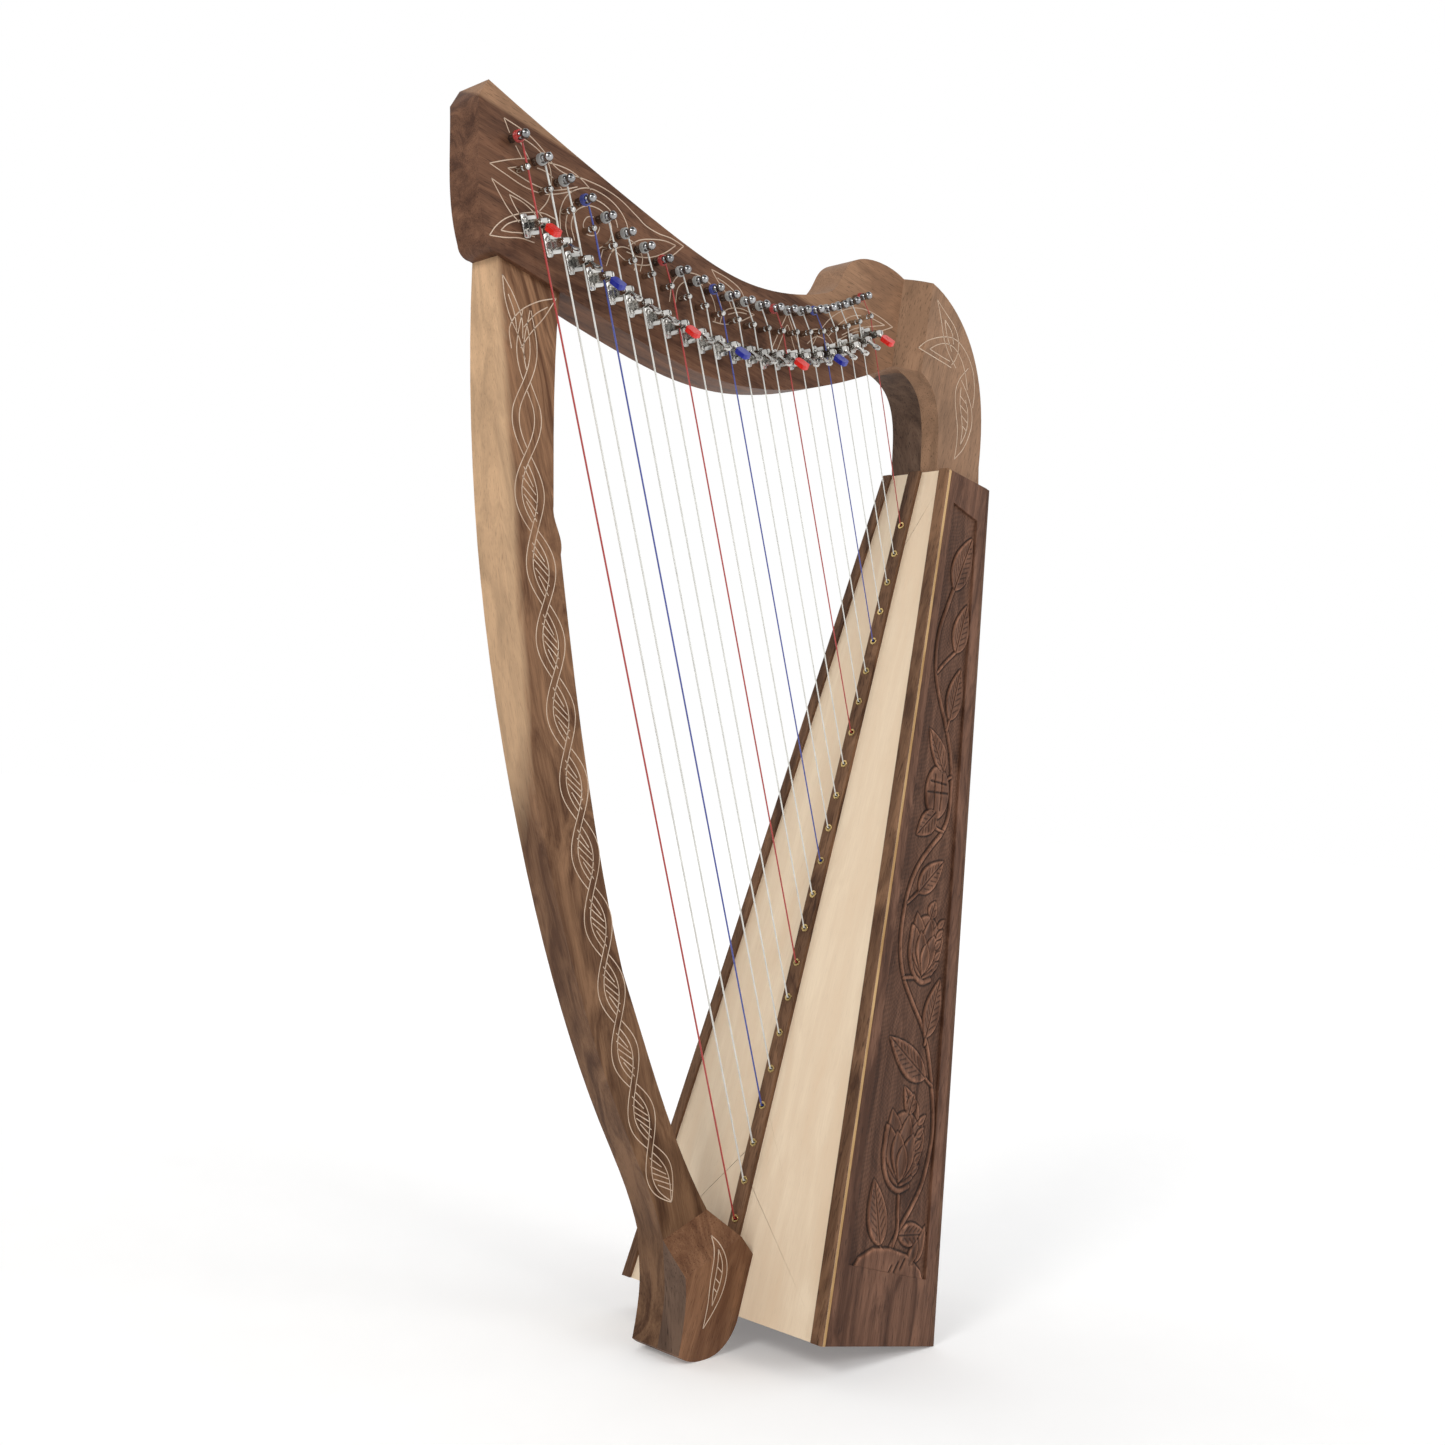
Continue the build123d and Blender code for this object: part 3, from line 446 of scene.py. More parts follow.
def smooth_line(points, step=1.5):
    """Points along a smooth line through the given ones, about step apart."""
    points = [np.array(point, float) for point in points]
    if len(points) == 2:
        count = max(2, int(np.linalg.norm(points[1] - points[0]) / step))
        return np.array([points[0] + (points[1] - points[0]) * k / count for k in range(count + 1)])
    closed = np.allclose(points[0], points[-1])
    before = points[-2] if closed else 2 * points[0] - points[1]
    after = points[1] if closed else 2 * points[-1] - points[-2]
    ring = [before, *points, after]
    line = []
    for a, b, c, d in zip(ring, ring[1:], ring[2:], ring[3:]):
        count = max(2, int(np.linalg.norm(c - b) / step))
        for k in range(count):
            t = k / count
            bend = 2 * a - 5 * b + 4 * c - d
            twist = 3 * b - a - 3 * c + d
            line.append(0.5 * (2 * b + (c - a) * t + bend * t * t + twist * t**3))
    line.append(points[-1])
    return np.array(line)


PIN_CLEARANCE = 3.3


def ribbons(name, lines, y, width=0.62, proud=0.06, deep=0.25):
    """Thin strips of pale wood let into a face that looks toward -Y. Lines are (x, z) in millimetres."""
    holes = np.array([(pin.x / MM, pin.z / MM) for pin in pins])
    vertices, faces = [], []
    for line in lines:
        line = np.asarray(line, float)
        tangent = np.gradient(line, axis=0)
        tangent /= np.maximum(np.linalg.norm(tangent, axis=1, keepdims=True), 1e-9)
        normal = np.stack([-tangent[:, 1], tangent[:, 0]], 1) * width / 2
        near = np.linalg.norm(line[:, None] - holes[None], axis=2).min(1) < PIN_CLEARANCE
        first = len(vertices)
        for point, side in zip(line, normal):
            for shift, depth in ((-side, deep), (-side, -proud), (side, -proud), (side, deep)):
                spot = point + shift
                vertices.append((spot[0] * MM, (y + depth) * MM, spot[1] * MM))
        for k in range(len(line) - 1):
            if near[k] or near[k + 1]:
                continue
            a, b = first + 4 * k, first + 4 * k + 4
            for e in range(4):
                f = (e + 1) % 4
                faces.append((a + e, b + e, b + f, a + f))
    return build(name, vertices, faces, inlay_wood, smooth=False)


# ---------------------------------------------------------------- inlay on the neck

NECK_Y, PILLAR_Y, CHEEK_Y = -4.0, 0.0, -20.0

NECK_LINES = [
    # four pointed leaves at the pillar's end, each drawn twice
    [(-213, 739), (-222.5, 749.5), (-228.6, 758.2)],
    [(-228.6, 758.2), (-218.5, 756.7), (-207.4, 754), (-197, 749), (-188, 743), (-179, 741.2),
     (-168.8, 742.6), (-158, 743), (-146.5, 742.5), (-133, 739.9), (-119, 734.3), (-110, 730.5),
     (-98.6, 729), (-87.4, 729.4), (-75.6, 727.7)],
    [(-207.5, 740.3), (-213.9, 746.9), (-217.9, 751.2)],
    [(-217.9, 751.2), (-208.3, 750.3), (-197.5, 746.6), (-191.3, 740.2), (-189.5, 729.2), (-191.5, 720),
     (-197, 712)],
    [(-236.4, 728.1), (-223.5, 734.5), (-209.7, 740), (-193, 743.4), (-178.5, 744.6), (-167.5, 742.5),
     (-158, 738.2)],
    [(-236.4, 728.1), (-225, 725.8), (-210.3, 723), (-195.8, 723.2), (-183.8, 727.1), (-172, 732.8)],
    [(-223, 729.7), (-209.3, 735.6), (-198.4, 737.4), (-190, 736), (-181, 731)],
    [(-223, 729.7), (-213.3, 727.9), (-203.5, 726.6), (-191.2, 727), (-180, 731), (-169, 736.4)],
    [(-234.3, 719.8), (-221.7, 717), (-207.2, 714.6), (-198.4, 711.7), (-192, 706.5), (-188, 699)],
    [(-234.3, 719.8), (-226.4, 711.6), (-219.4, 705.2), (-211.6, 700.6)],
    [(-220.4, 714.6), (-209.6, 713.2), (-200.8, 709.6), (-195.5, 704.7), (-192.5, 698)],
    [(-220.4, 714.6), (-215.4, 708.7), (-209.4, 703.6)],
    [(-232.4, 686.2), (-227.8, 693.6), (-220.2, 700.8), (-208.9, 707), (-195, 711.6), (-183, 711)],
    [(-232.4, 686.2), (-221.4, 688.3), (-209.8, 691.5), (-199, 692)],
    [(-224.5, 691.6), (-219.9, 696.9), (-213, 701), (-204.5, 704.2), (-194, 705.6), (-184, 704.6)],
    [(-224.5, 691.6), (-217, 692.8), (-208.9, 694.8), (-199, 695.6)],
    # rings under the bass pins
    [(-162.2, 714.4), (-159.4, 720.4), (-152.5, 722), (-148.8, 717.6), (-151.6, 711.6), (-158.6, 709.8),
     (-162.2, 714.4)],
    [(-168, 703), (-171.6, 711.7), (-168.5, 721.5), (-158, 728), (-146, 727.4), (-139.2, 721),
     (-140.3, 711), (-148.5, 703.6)],
    [(-171.5, 700), (-176, 711), (-172, 725), (-160.5, 732.6), (-146, 732.4), (-136, 726.2),
     (-133.2, 715), (-138, 704)],
    [(-179.7, 706), (-181, 718), (-175.2, 730), (-161.5, 738.2), (-146.2, 738.2), (-133.9, 733.6),
     (-126.3, 726), (-123, 715)],
    [(-146.5, 697), (-143, 708), (-132.6, 716.3), (-119.5, 716.6), (-111.3, 709.7), (-112.2, 700)],
    [(-141, 695), (-137.6, 704.6), (-130, 710.6), (-121, 711), (-116, 706), (-117.5, 699)],
    [(-75.6, 727.7), (-86.2, 717.6), (-96.9, 710.4), (-110.2, 704.6), (-123.7, 703.1), (-133, 706)],
    [(-82.7, 726), (-92.7, 726), (-103.8, 723.6), (-114.6, 719.7), (-124, 713)],
    [(-82.7, 726), (-91.8, 718.4), (-103.3, 712), (-114.1, 709), (-125, 709)],
    # leaves and rings in the middle
    [(-48.7, 720.3), (-41.4, 713.9), (-33.2, 708.2), (-27, 700)],
    [(-48.7, 720.3), (-32.6, 718.6), (-19.9, 714.7), (-13.2, 706.9)],
    [(-42.5, 716.2), (-32.2, 714.2), (-23, 710.4), (-19, 704)],
    [(-84.8, 688), (-83.4, 700), (-76.5, 708.6), (-65.1, 712.6), (-52.4, 711.5), (-41.8, 705.6),
     (-36.1, 695.3), (-37, 686)],
    [(-79.4, 688), (-78.2, 698.6), (-72.2, 705), (-64.2, 707.8), (-54, 706.8), (-45.9, 701.6),
     (-41.6, 693), (-42, 686)],
    [(-4.2, 701.5), (-18.5, 701.9), (-30.3, 698.2), (-38, 691)],
    [(-4.2, 701.5), (-18.7, 692.6), (-32, 687.3), (-44, 686)],
    [(-12, 700), (-21, 698.6), (-30, 694.6)],
    # fan and leaf at the shoulder's end
    [(15, 682), (22.5, 698), (29.1, 711.8)],
    [(29.1, 711.8), (36, 702), (46.2, 689.5)],
    [(20.5, 682), (25.5, 694), (30, 703.5), (36.5, 693), (42, 684)],
    [(147.3, 733.6), (129.7, 737.2), (110.8, 737.6), (93, 732.6), (76.2, 721.5), (64.8, 708.7),
     (58, 697)],
    [(147.3, 733.6), (127.3, 724.4), (107.3, 719.6), (88, 709), (74, 697)],
    [(137.8, 732.5), (118.6, 733.3), (100.5, 729.5), (86.1, 719.8), (74, 707)],
    [(137.8, 732.5), (121, 727), (104, 721), (89, 712)],
    [(48, 700), (58, 708), (70, 709), (80, 703), (84, 694)],
    [(52, 696), (60, 703), (69, 704), (76, 699), (79, 692)],
]
ribbons("inlay_neck", [smooth_line(line) for line in NECK_LINES], NECK_Y)

# ---------------------------------------------------------------- inlay down the pillar

PILLAR_CENTRE = [
    (-197.5, 652), (-190.3, 577.8), (-183.1, 534.7), (-171.8, 499.9), (-160.8, 459.1), (-147.5, 413.1),
    (-131.5, 366.6), (-113.8, 311.8), (-95.3, 260.9), (-76.5, 209.7), (-56.2, 163.7), (-36, 123.2),
    (-21.4, 100.7),
]
STRAND_SWING, STRAND_HALF_WIDTH, CROSSING_STEP = 8.6, 2.7, 45.0


def pillar_inlay():
    """Two strands, each a double line, cross over and under each other down the pillar."""
    centre = smooth_line(PILLAR_CENTRE, 0.8)
    tangent = np.gradient(centre, axis=0)
    tangent /= np.linalg.norm(tangent, axis=1, keepdims=True)
    normal = np.stack([-tangent[:, 1], tangent[:, 0]], 1)
    run = np.concatenate([[0], np.cumsum(np.linalg.norm(np.diff(centre, axis=0), axis=1))])
    total = run[-1]
    swing = STRAND_SWING * np.clip(0.35 + run / 90, 0, 1)
    half = STRAND_HALF_WIDTH * np.clip((total - run) / 30, 0.0, 1) ** 0.6
    phase = math.pi * (run - total) / CROSSING_STEP
    turn = np.floor(phase / math.pi + 0.5).astype(int)
    lines = []
    for strand in (1, -1):
        path = strand * swing * np.sin(phase)
        other = -path
        under = (turn % 2 == 0) == (strand == 1)
        for edge in (1, -1):
            offset = path + edge * half
            hidden = under & (np.abs(offset - other) < half * 0.98) & (total - run > 30)
            points = centre + normal * offset[:, None]
            for piece in np.split(np.arange(len(run)), np.flatnonzero(np.diff(hidden.astype(int))) + 1):
                if len(piece) > 3 and not hidden[piece[0]]:
                    lines.append(points[piece])
    # slanted hatching inside each loop
    for k in range(int(total / CROSSING_STEP) - 1):
        middle = total - (k + 0.5) * CROSSING_STEP
        for step in range(-2, 3):
            at = int(np.searchsorted(run, middle + step * 5.2))
            if 8 < at < len(run) - 12:
                reach = swing[at] * abs(math.sin(phase[at])) - half[at] - 0.6
                if reach > 1.2:
                    slope = min(8, len(run) - 1 - at)
                    a = centre[at + slope] + normal[at] * reach
                    b = centre[at - slope] - normal[at] * reach
                    lines.append(smooth_line([a, b]))
    # the two leaf tips at the top
    for tip in (
        [(-217.9, 668), (-214.8, 655), (-209.5, 644), (-202, 634), (-196, 622)],
        [(-217.9, 668), (-208.5, 658), (-201, 646), (-199, 634)],
        [(-212.5, 657.5), (-207, 648), (-204, 638)],
        [(-175.7, 665.2), (-184, 651), (-192.5, 640), (-200, 628)],
        [(-175.7, 665.2), (-190, 659), (-203, 649.5), (-209.5, 638), (-207, 626)],
        [(-182, 658), (-191, 651), (-199, 641)],
    ):
        lines.append(smooth_line(tip))
    return lines


ribbons("inlay_pillar", pillar_inlay(), PILLAR_Y)

# ---------------------------------------------------------------- inlay on the shoulder and the foot

SHOULDER_LINES = [
    [(202.2, 714), (181, 716.4), (160, 718.7)],
    [(160, 718.7), (169.8, 726.4), (184, 733), (197, 736.6), (206.3, 736.8), (214, 734.4), (223, 728.2),
     (230.1, 719.5), (233.4, 709.9), (234.4, 699.9), (233.3, 689.5)],
    [(173.7, 721.3), (187, 719.6), (200, 718.4)],
    [(173.7, 721.3), (184, 727.4), (195, 730.9), (206, 729.6), (215.2, 722.8), (221, 713.7),
     (225, 701.8)],
    [(179.5, 761.1), (184.5, 750.7), (187.6, 742.4), (191, 733.5), (197.5, 724.6), (208.4, 715.2)],
    [(179.5, 761.1), (193, 752.9), (203.3, 746.5), (208.9, 738.8), (210, 730.1), (207.5, 722.3),
     (202.5, 716.1)],
    [(190.5, 748.6), (194.3, 737.6), (201.6, 726.4)],
    [(190.5, 748.6), (200, 741.5), (203.6, 732.6)],
    [(224.5, 719), (214.9, 708.9), (210.3, 699.7), (210, 689.7), (212.3, 679.6), (214.9, 669.3),
     (215.2, 657.6), (213.3, 644.5)],
    [(216.4, 707.5), (226.2, 697.4), (232.2, 686.9), (233.3, 676), (230.1, 665.7), (223.9, 654.8),
     (213.3, 644.5)],
    [(216.6, 701.7), (216.2, 691), (219.1, 680), (221.3, 669.7), (220.2, 657.3)],
    [(223.4, 693.7), (227.6, 682.7), (226.8, 669.9), (220.2, 657.3)],
    [(216.4, 695), (224.8, 690.6)],
    [(216.9, 688), (226.4, 683.6)],
    [(218.8, 680.6), (227.4, 676.2)],
    [(220.3, 673), (227, 669.4)],
]
ribbons("inlay_shoulder", [smooth_line(line) for line in SHOULDER_LINES], CHEEK_Y)

FOOT_LINES = [
    [(-2.1, 80.8), (5.7, 74.8), (11.8, 67.2), (14.9, 59.4), (14.9, 50.6), (11.5, 40.4), (4.4, 30),
     (-4.2, 20.7)],
    [(-2.1, 80.8), (1.1, 73.4), (2, 66.4), (1.1, 58.5), (0, 50.7), (-0.5, 42.3), (-1.4, 33.9),
     (-4.2, 20.7)],
    [(5.8, 70.6), (9.4, 63.8), (10.8, 57), (9.7, 49.4), (7, 42.2), (3, 34.2)],
    [(5.8, 70.6), (6, 64.4), (5.4, 57.5), (4.2, 51), (3.2, 44.3), (3, 34.2)],
    [(5.5, 59.5), (10.6, 54.8)],
    [(4.2, 52.2), (9.6, 47.4)],
    [(3.5, 45.6), (7.4, 42)],
]
ribbons("inlay_foot", [smooth_line(line) for line in FOOT_LINES], CHEEK_Y)

# ---------------------------------------------------------------- carving

# sunk field's lower and upper end, each as (up the panel, front edge, rear edge)
FIELD_LOW, FIELD_HIGH = (52.3, 15.0, 105.0), (609.9, 11.0, 44.0)
FIELD_DEPTH, FLOOR_LEVEL, RELIEF_LIMIT = 2.6, 0.6, 2.4
GROOVE_WIDTH, GROOVE_DEPTH = 1.5, 0.95
SEARCH_REACH = 8.0
CARVING_ROWS, CARVING_COLUMNS = 860, 150
# painted shade and light of the carving: how much darker its grooves and low parts get and how much lighter its
# ridges and high parts
TONE_MIDDLE, PAINTED_SHADE_OF_HOLLOWS, PAINTED_SHADE_OF_DEPTH, EVEN_HEIGHT = 0.47, 1.25, 0.13, 1.2
TOOL_TONE, TOOL_DEPTH = 0.13, 0.07
CORNER = Vector((29.6, -94.0, 22.886))
BACK_DIRECTION = Vector((0.96593, 0, -0.25882))
OUTWARD = Vector((0.02547, -0.99515, 0.09506))

STEMS = [
    ([(544.8, 28.5), (528.8, 23.8), (508.9, 18.6), (491.2, 18), (473, 21.6), (457, 30.3), (440.3, 42),
      (422.8, 52), (406, 57.5), (391.5, 60), (374.5, 60.4), (361, 55.5), (347.5, 45), (330, 33),
      (312.2, 26), (291.3, 23.2), (267.7, 25), (248.3, 33.8), (232.8, 49.1), (217.7, 65.4), (198.4, 77.3),
      (176.5, 86), (160, 91), (142.9, 92.8), (116.4, 88.4), (98.9, 80), (84, 70), (68.6, 61)], 1.9),
    ([(474.9, 22.5), (485.1, 29.9), (498.4, 41.4)], 1.3),
    ([(437, 43.5), (445.5, 45.3)], 1.2),
    ([(404.8, 57), (398, 50), (388, 46)], 1.2),
    ([(362, 56), (362, 48), (364, 42)], 1.2),
    ([(300, 25.5), (305, 31), (311, 37)], 1.2),
    ([(248, 34), (251, 45), (252, 55)], 1.5),
    ([(212, 69), (208, 69)], 1.2),
    ([(182, 84), (184, 79), (186, 75)], 1.2),
    ([(104, 62), (92, 64), (80, 66), (66, 62)], 1.5),
    ([(68.1, 48.6), (62, 54), (56, 60)], 1.3),
]
LEAVES = [
    ((544.8, 28.5), (594.8, 42.5), 10.5, 11.5),
    ((498.4, 41.4), (540.4, 47.8), 10.0, 9.5),
    ((445.5, 45.3), (489.2, 50.8), 9.5, 9.5),
    ((404.8, 46.6), (431.6, 22.8), 10.5, 6.5),
    ((373, 43.9), (350.3, 24.9), 7.5, 9.5),
    ((310.9, 36.9), (341.6, 62.5), 8.5, 9.5),
    ((213.1, 68.5), (258.1, 77.4), 9.5, 9.5),
    ((185.9, 74.9), (205.5, 27.1), 9.5, 12.5),
    ((68.1, 48.6), (110.1, 32), 10.5, 11.5),
    ((77.1, 68.1), (82.2, 101), 8.0, 8.5),
    ((153.8, 72), (176, 52), 7.5, 7.5),
]
BUD = (387.9, 42.5, 20.0, 14.5)
ROSES = [(275, 54.3, 23.0, 18.0), (134, 59.8, 25.5, 21.0)]
MOUND = [(46, 18), (58, 26), (66, 41), (68, 60), (66, 82), (58, 98), (46, 106)]


def distance(u, v, line):
    """Distance of every point from a line, exact within SEARCH_REACH of it and very large beyond."""
    best = np.full(u.shape, 1e9)
    for a, b in zip(line[:-1], line[1:]):
        d = b - a
        near = (u > min(a[0], b[0]) - SEARCH_REACH) & (u < max(a[0], b[0]) + SEARCH_REACH)
        t = np.clip(((u[near] - a[0]) * d[0] + (v[near] - a[1]) * d[1]) / (d @ d), 0, 1)
        gap = np.hypot(u[near] - a[0] - t * d[0], v[near] - a[1] - t * d[1])
        best[near] = np.minimum(best[near], gap)
    return best


def lay(height, rim, level):
    """Lay a shape over what is there. rim is the distance inside its outline; a groove is cut round it."""
    groove = (rim <= 0) & (rim > -GROOVE_WIDTH)
    cut = height - GROOVE_DEPTH * np.clip(1 + rim / GROOVE_WIDTH, 0, 1) ** 1.5 * groove
    rise = np.clip(rim / 0.9, 0, 1) ** 0.6
    return np.where(rim > 0, cut * (1 - rise) + level * rise, cut)


def petal(height, u, v, base, tip, left, right, level, veins=True, fullness=0.75):
    """Leaf or petal from base to tip, hollowed on each side of its middle vein."""
    axis = np.array(tip, float) - np.array(base, float)
    length = np.linalg.norm(axis)
    axis /= length
    t = ((u - base[0]) * axis[0] + (v - base[1]) * axis[1]) / length
    s = (u - base[0]) * -axis[1] + (v - base[1]) * axis[0]
    swell = np.abs(np.sin(math.pi * np.clip(t, 0, 1) ** fullness)) ** 0.85
    half = np.where(s > 0, left, right) * swell
    rim = half - np.abs(s)
    rim = np.where((t > 0) & (t < 1), rim, -np.hypot(np.abs(s), np.where(t > 0.5, t - 1, t) * length))
    share = np.clip(np.abs(s) / np.maximum(half, 0.1), 0, 1)
    body = level * (0.60 + 0.40 * share**1.6)
    if veins:
        body = body + 0.25 * np.exp(-(((np.abs(s) - 0.9) / 0.6) ** 2)) - 0.7 * np.exp(-((s / 0.55) ** 2))
        rung = ((t * length - np.abs(s) * 1.1) / 5.0) % 1.0
        gap = np.minimum(rung, 1 - rung) * 5.0
        stroke = (share > 0.18) & (share < 0.72) & (t > 0.1) & (t < 0.85)
        body = body - 0.65 * np.exp(-((gap / 0.5) ** 2)) * stroke
    else:
        body = body + 0.2 * np.exp(-(((share - 0.85) / 0.12) ** 2))
    return lay(height, rim, body)


def rose(height, u, v, u0, v0, ru, rv):
    """Half-open rose: an outer cup, nested petals and a fringe along its rear side."""
    ring = np.sqrt(((u - u0) / ru) ** 2 + ((v - v0) / rv) ** 2)
    height = lay(height, (1 - ring) * min(ru, rv), 1.25 + 0.3 * np.clip(ring, 0, 1) ** 2)
    low = (u0 - ru * 0.92, v0)
    # outer petals, then the ones that overlap them, then the bud
    for reach, turn, wide, level in (
        (2.05, 0.36, 0.44, 1.55), (2.0, -0.34, 0.46, 1.65), (1.75, 0.50, 0.42, 1.8), (1.7, -0.52, 0.42, 1.85),
        (1.85, 0.04, 0.42, 1.95), (1.45, 0.27, 0.36, 2.1), (1.4, -0.25, 0.38, 2.2), (1.05, 0.0, 0.30, 2.35),
    ):
        tip = (low[0] + ru * reach * math.cos(turn), low[1] + rv * reach * 1.25 * math.sin(turn))
        height = petal(height, u, v, low, tip, rv * wide, rv * wide, level, veins=False, fullness=1.15)
    for k in range(5):
        base = (u0 + ru * (-0.62 + 0.34 * k), v0 + rv * (0.62 + 0.05 * math.sin(2.2 * k)))
        tip = (base[0] + 8.5, base[1] + rv * 0.42)
        height = petal(height, u, v, base, tip, 2.5, 2.5, 1.9, veins=False)
    cup = distance(u, v, smooth_line([
        (u0 + ru * 0.45, v0 - rv * 0.98), (u0 - ru * 0.35, v0 - rv * 0.98), (u0 - ru * 0.9, v0 - rv * 0.6),
        (u0 - ru * 1.1, v0), (u0 - ru * 0.92, v0 + rv * 0.55),
    ], 3))
    height = lay(height, 2.0 - cup, 1.75 - 0.12 * cup**2)
    return petal(height, u, v, (u0 + ru * 0.95, v0 + 1), (u0 + ru * 1.55, v0 + 5), 5.5, 5.5, 1.8)


def carve(u, v):
    """Height of the carving above its sunk field, at u up the panel and v back from its front edge."""
    height = np.full_like(u, FLOOR_LEVEL)
    for line, radius in STEMS:
        gap = distance(u, v, smooth_line(line, 3))
        height = lay(height, radius - gap, 1.75 - 0.9 * (gap / radius) ** 2)
    u0, v0, ru, rv = BUD
    ring = np.sqrt(((u - u0) / ru) ** 2 + ((v - v0) / rv) ** 2)
    body = 1.5 + 0.7 * np.sqrt(np.clip(1 - ring**2, 0, 1))
    for line in (((-15, -2), (12, -6)), ((-12, 5), (15, 3)), ((-3, -12), (3, 12)), ((6, -10), (9, 9))):
        a, b = (np.array((u0 + p, v0 + q)) for p, q in line)
        body = body - 1.0 * np.exp(-((distance(u, v, np.array([a, b])) / 0.8) ** 2))
    height = lay(height, (1 - ring) * rv, body)
    for shape in LEAVES:
        height = petal(height, u, v, *shape, 2.0)
    for shape in ROSES:
        height = rose(height, u, v, *shape)
    # grassy mound at the foot of the vine
    edge = np.interp(v, [p[1] for p in MOUND], [p[0] for p in MOUND])
    height = lay(height, edge - u, 1.95)
    for start, tip in (((62, 92), (88, 98)), ((60, 84), (78, 92))):
        height = petal(height, u, v, start, tip, 4.5, 4.5, 1.9, veins=False)
    for k in range(3):
        nick = distance(u, v, np.array([(50.0 + 3 * k, 60.0 + 7 * k), (57.0 + 3 * k, 64.0 + 7 * k)]))
        height = height - 0.9 * np.exp(-((nick / 0.8) ** 2))
    return np.clip(height, 0, RELIEF_LIMIT)


def blurred(height, times):
    for _ in range(times):
        padded = np.pad(height, 1, mode="edge")
        sides = padded[:-2, 1:-1] + padded[2:, 1:-1] + padded[1:-1, :-2] + padded[1:-1, 2:]
        height = (4 * padded[1:-1, 1:-1] + sides) / 8
    return height


def carving(name, side):
    """The carved vine, as a fine relief on the floor of one side panel's field."""
    ends, fronts, rears = zip(FIELD_LOW, FIELD_HIGH)
    up_steps, back_steps = np.linspace(*ends, CARVING_ROWS), np.linspace(0, 1, CARVING_COLUMNS)
    u, share = np.meshgrid(up_steps, back_steps, indexing="ij")
    front = np.interp(u, ends, fronts)
    rear = np.interp(u, ends, rears)
    v = front + (rear - front) * share
    height = blurred(carve(u, v), 1)
    # painted shade: the stored tone is darker in grooves and low parts and lighter on ridges and high parts,
    # standing in for the shade and light the relief gets; the dark in the hollows also stands for finish
    # gathered there
    edges = height - blurred(height, 16)
    tone = np.clip(TONE_MIDDLE + PAINTED_SHADE_OF_HOLLOWS * edges + PAINTED_SHADE_OF_DEPTH * (height - EVEN_HEIGHT), 0, 1)
    tool = np.sin(u * 1.9 + 3 * np.sin(v * 0.31)) * np.sin(v * 1.7 + 2 * np.sin(u * 0.23))
    on_floor = np.abs(height - FLOOR_LEVEL) < 0.15
    tone = np.clip(tone + TOOL_TONE * tool * on_floor, 0, 1)
    level = np.maximum(height + TOOL_DEPTH * tool * on_floor, 0) + 0.1 - FIELD_DEPTH
    place = (
        np.array(CORNER) + u[..., None] * np.array(UP_SIDE) + v[..., None] * np.array(BACK_DIRECTION)
        + level[..., None] * np.array(OUTWARD)
    ).reshape(-1, 3)
    place[:, 1] *= -side
    index = np.arange(u.size).reshape(u.shape)
    faces = np.stack([index[:-1, :-1], index[:-1, 1:], index[1:, 1:], index[1:, :-1]], -1).reshape(-1, 4)
    if side > 0:
        faces = faces[:, ::-1]
    piece = build(name, (place * MM).tolist(), faces.tolist(), walnut_carved)
    attribute = piece.data.attributes.new("carved_tone", "FLOAT", "POINT")
    attribute.data.foreach_set("value", tone.astype(np.float32).ravel())


carving("carving_left", -1)
carving("carving_right", 1)

# ---------------------------------------------------------------- tuning pins with their wound strings

PIN_RADIUS, BALL_RADIUS, PIN_TIP, COIL_TOP = 2.5, 2.9, -20.0, -8.4
BALL_NECK, NECK_RIGHT, KEY_END = 1.9, 24.0, 39.0
# from a tuning pin to its bridge pin (x, z): the first string's offset, and what each next string adds
BRIDGE_OFFSET, BRIDGE_STEP = (8.5, -15.8), (0.13, 0.22)
COIL_TURNS, COIL_STEPS, COIL_PITCH, COIL_GAP = 2.6, 62, 2.04, 0.45
TAIL_ENDS, TAIL_TIP_BEND = (-3.1, 5.4), (0.2, -0.5, 0.4)


def ring_faces(first, rows, sides):
    """Quads between rings of vertices that follow each other from the first vertex on."""
    faces = []
    for start in range(first, first + (rows - 1) * sides, sides):
        for k in range(sides):
            a, b = start + k, start + (k + 1) % sides
            faces.append((a, b, b + sides, a + sides))
    return faces


def closed_faces(rows, sides):
    """Faces of a shape made of rings, closed at both ends."""
    low_end = tuple(range(sides))[::-1]
    high_end = tuple(range((rows - 1) * sides, rows * sides))
    return ring_faces(0, rows, sides) + [low_end, high_end]


def tube(line, radius, sides=8):
    """Vertices and faces of a round tube along a line, closed at both ends."""
    line = np.asarray(line, float)
    tangent = np.gradient(line, axis=0)
    tangent /= np.linalg.norm(tangent, axis=1, keepdims=True)
    side = np.cross(tangent[0], (0.31, 0.17, 0.93))
    vertices = []
    for point, direction in zip(line, tangent):
        side = side - direction * (side @ direction)
        side /= np.linalg.norm(side)
        other = np.cross(direction, side)
        for k in range(sides):
            angle = 2 * math.pi * k / sides
            vertices.append(point + radius * (math.cos(angle) * side + math.sin(angle) * other))
    return vertices, closed_faces(len(line), sides)


def lathe(profile, centre, sides=28):
    """Turned shape about an axis along Y, from (radius, y) points."""
    vertices = []
    for radius, y in profile:
        for k in range(sides):
            angle = 2 * math.pi * k / sides
            vertices.append((centre[0] + radius * math.cos(angle), y, centre[1] + radius * math.sin(angle)))
    return vertices, closed_faces(len(profile), sides)


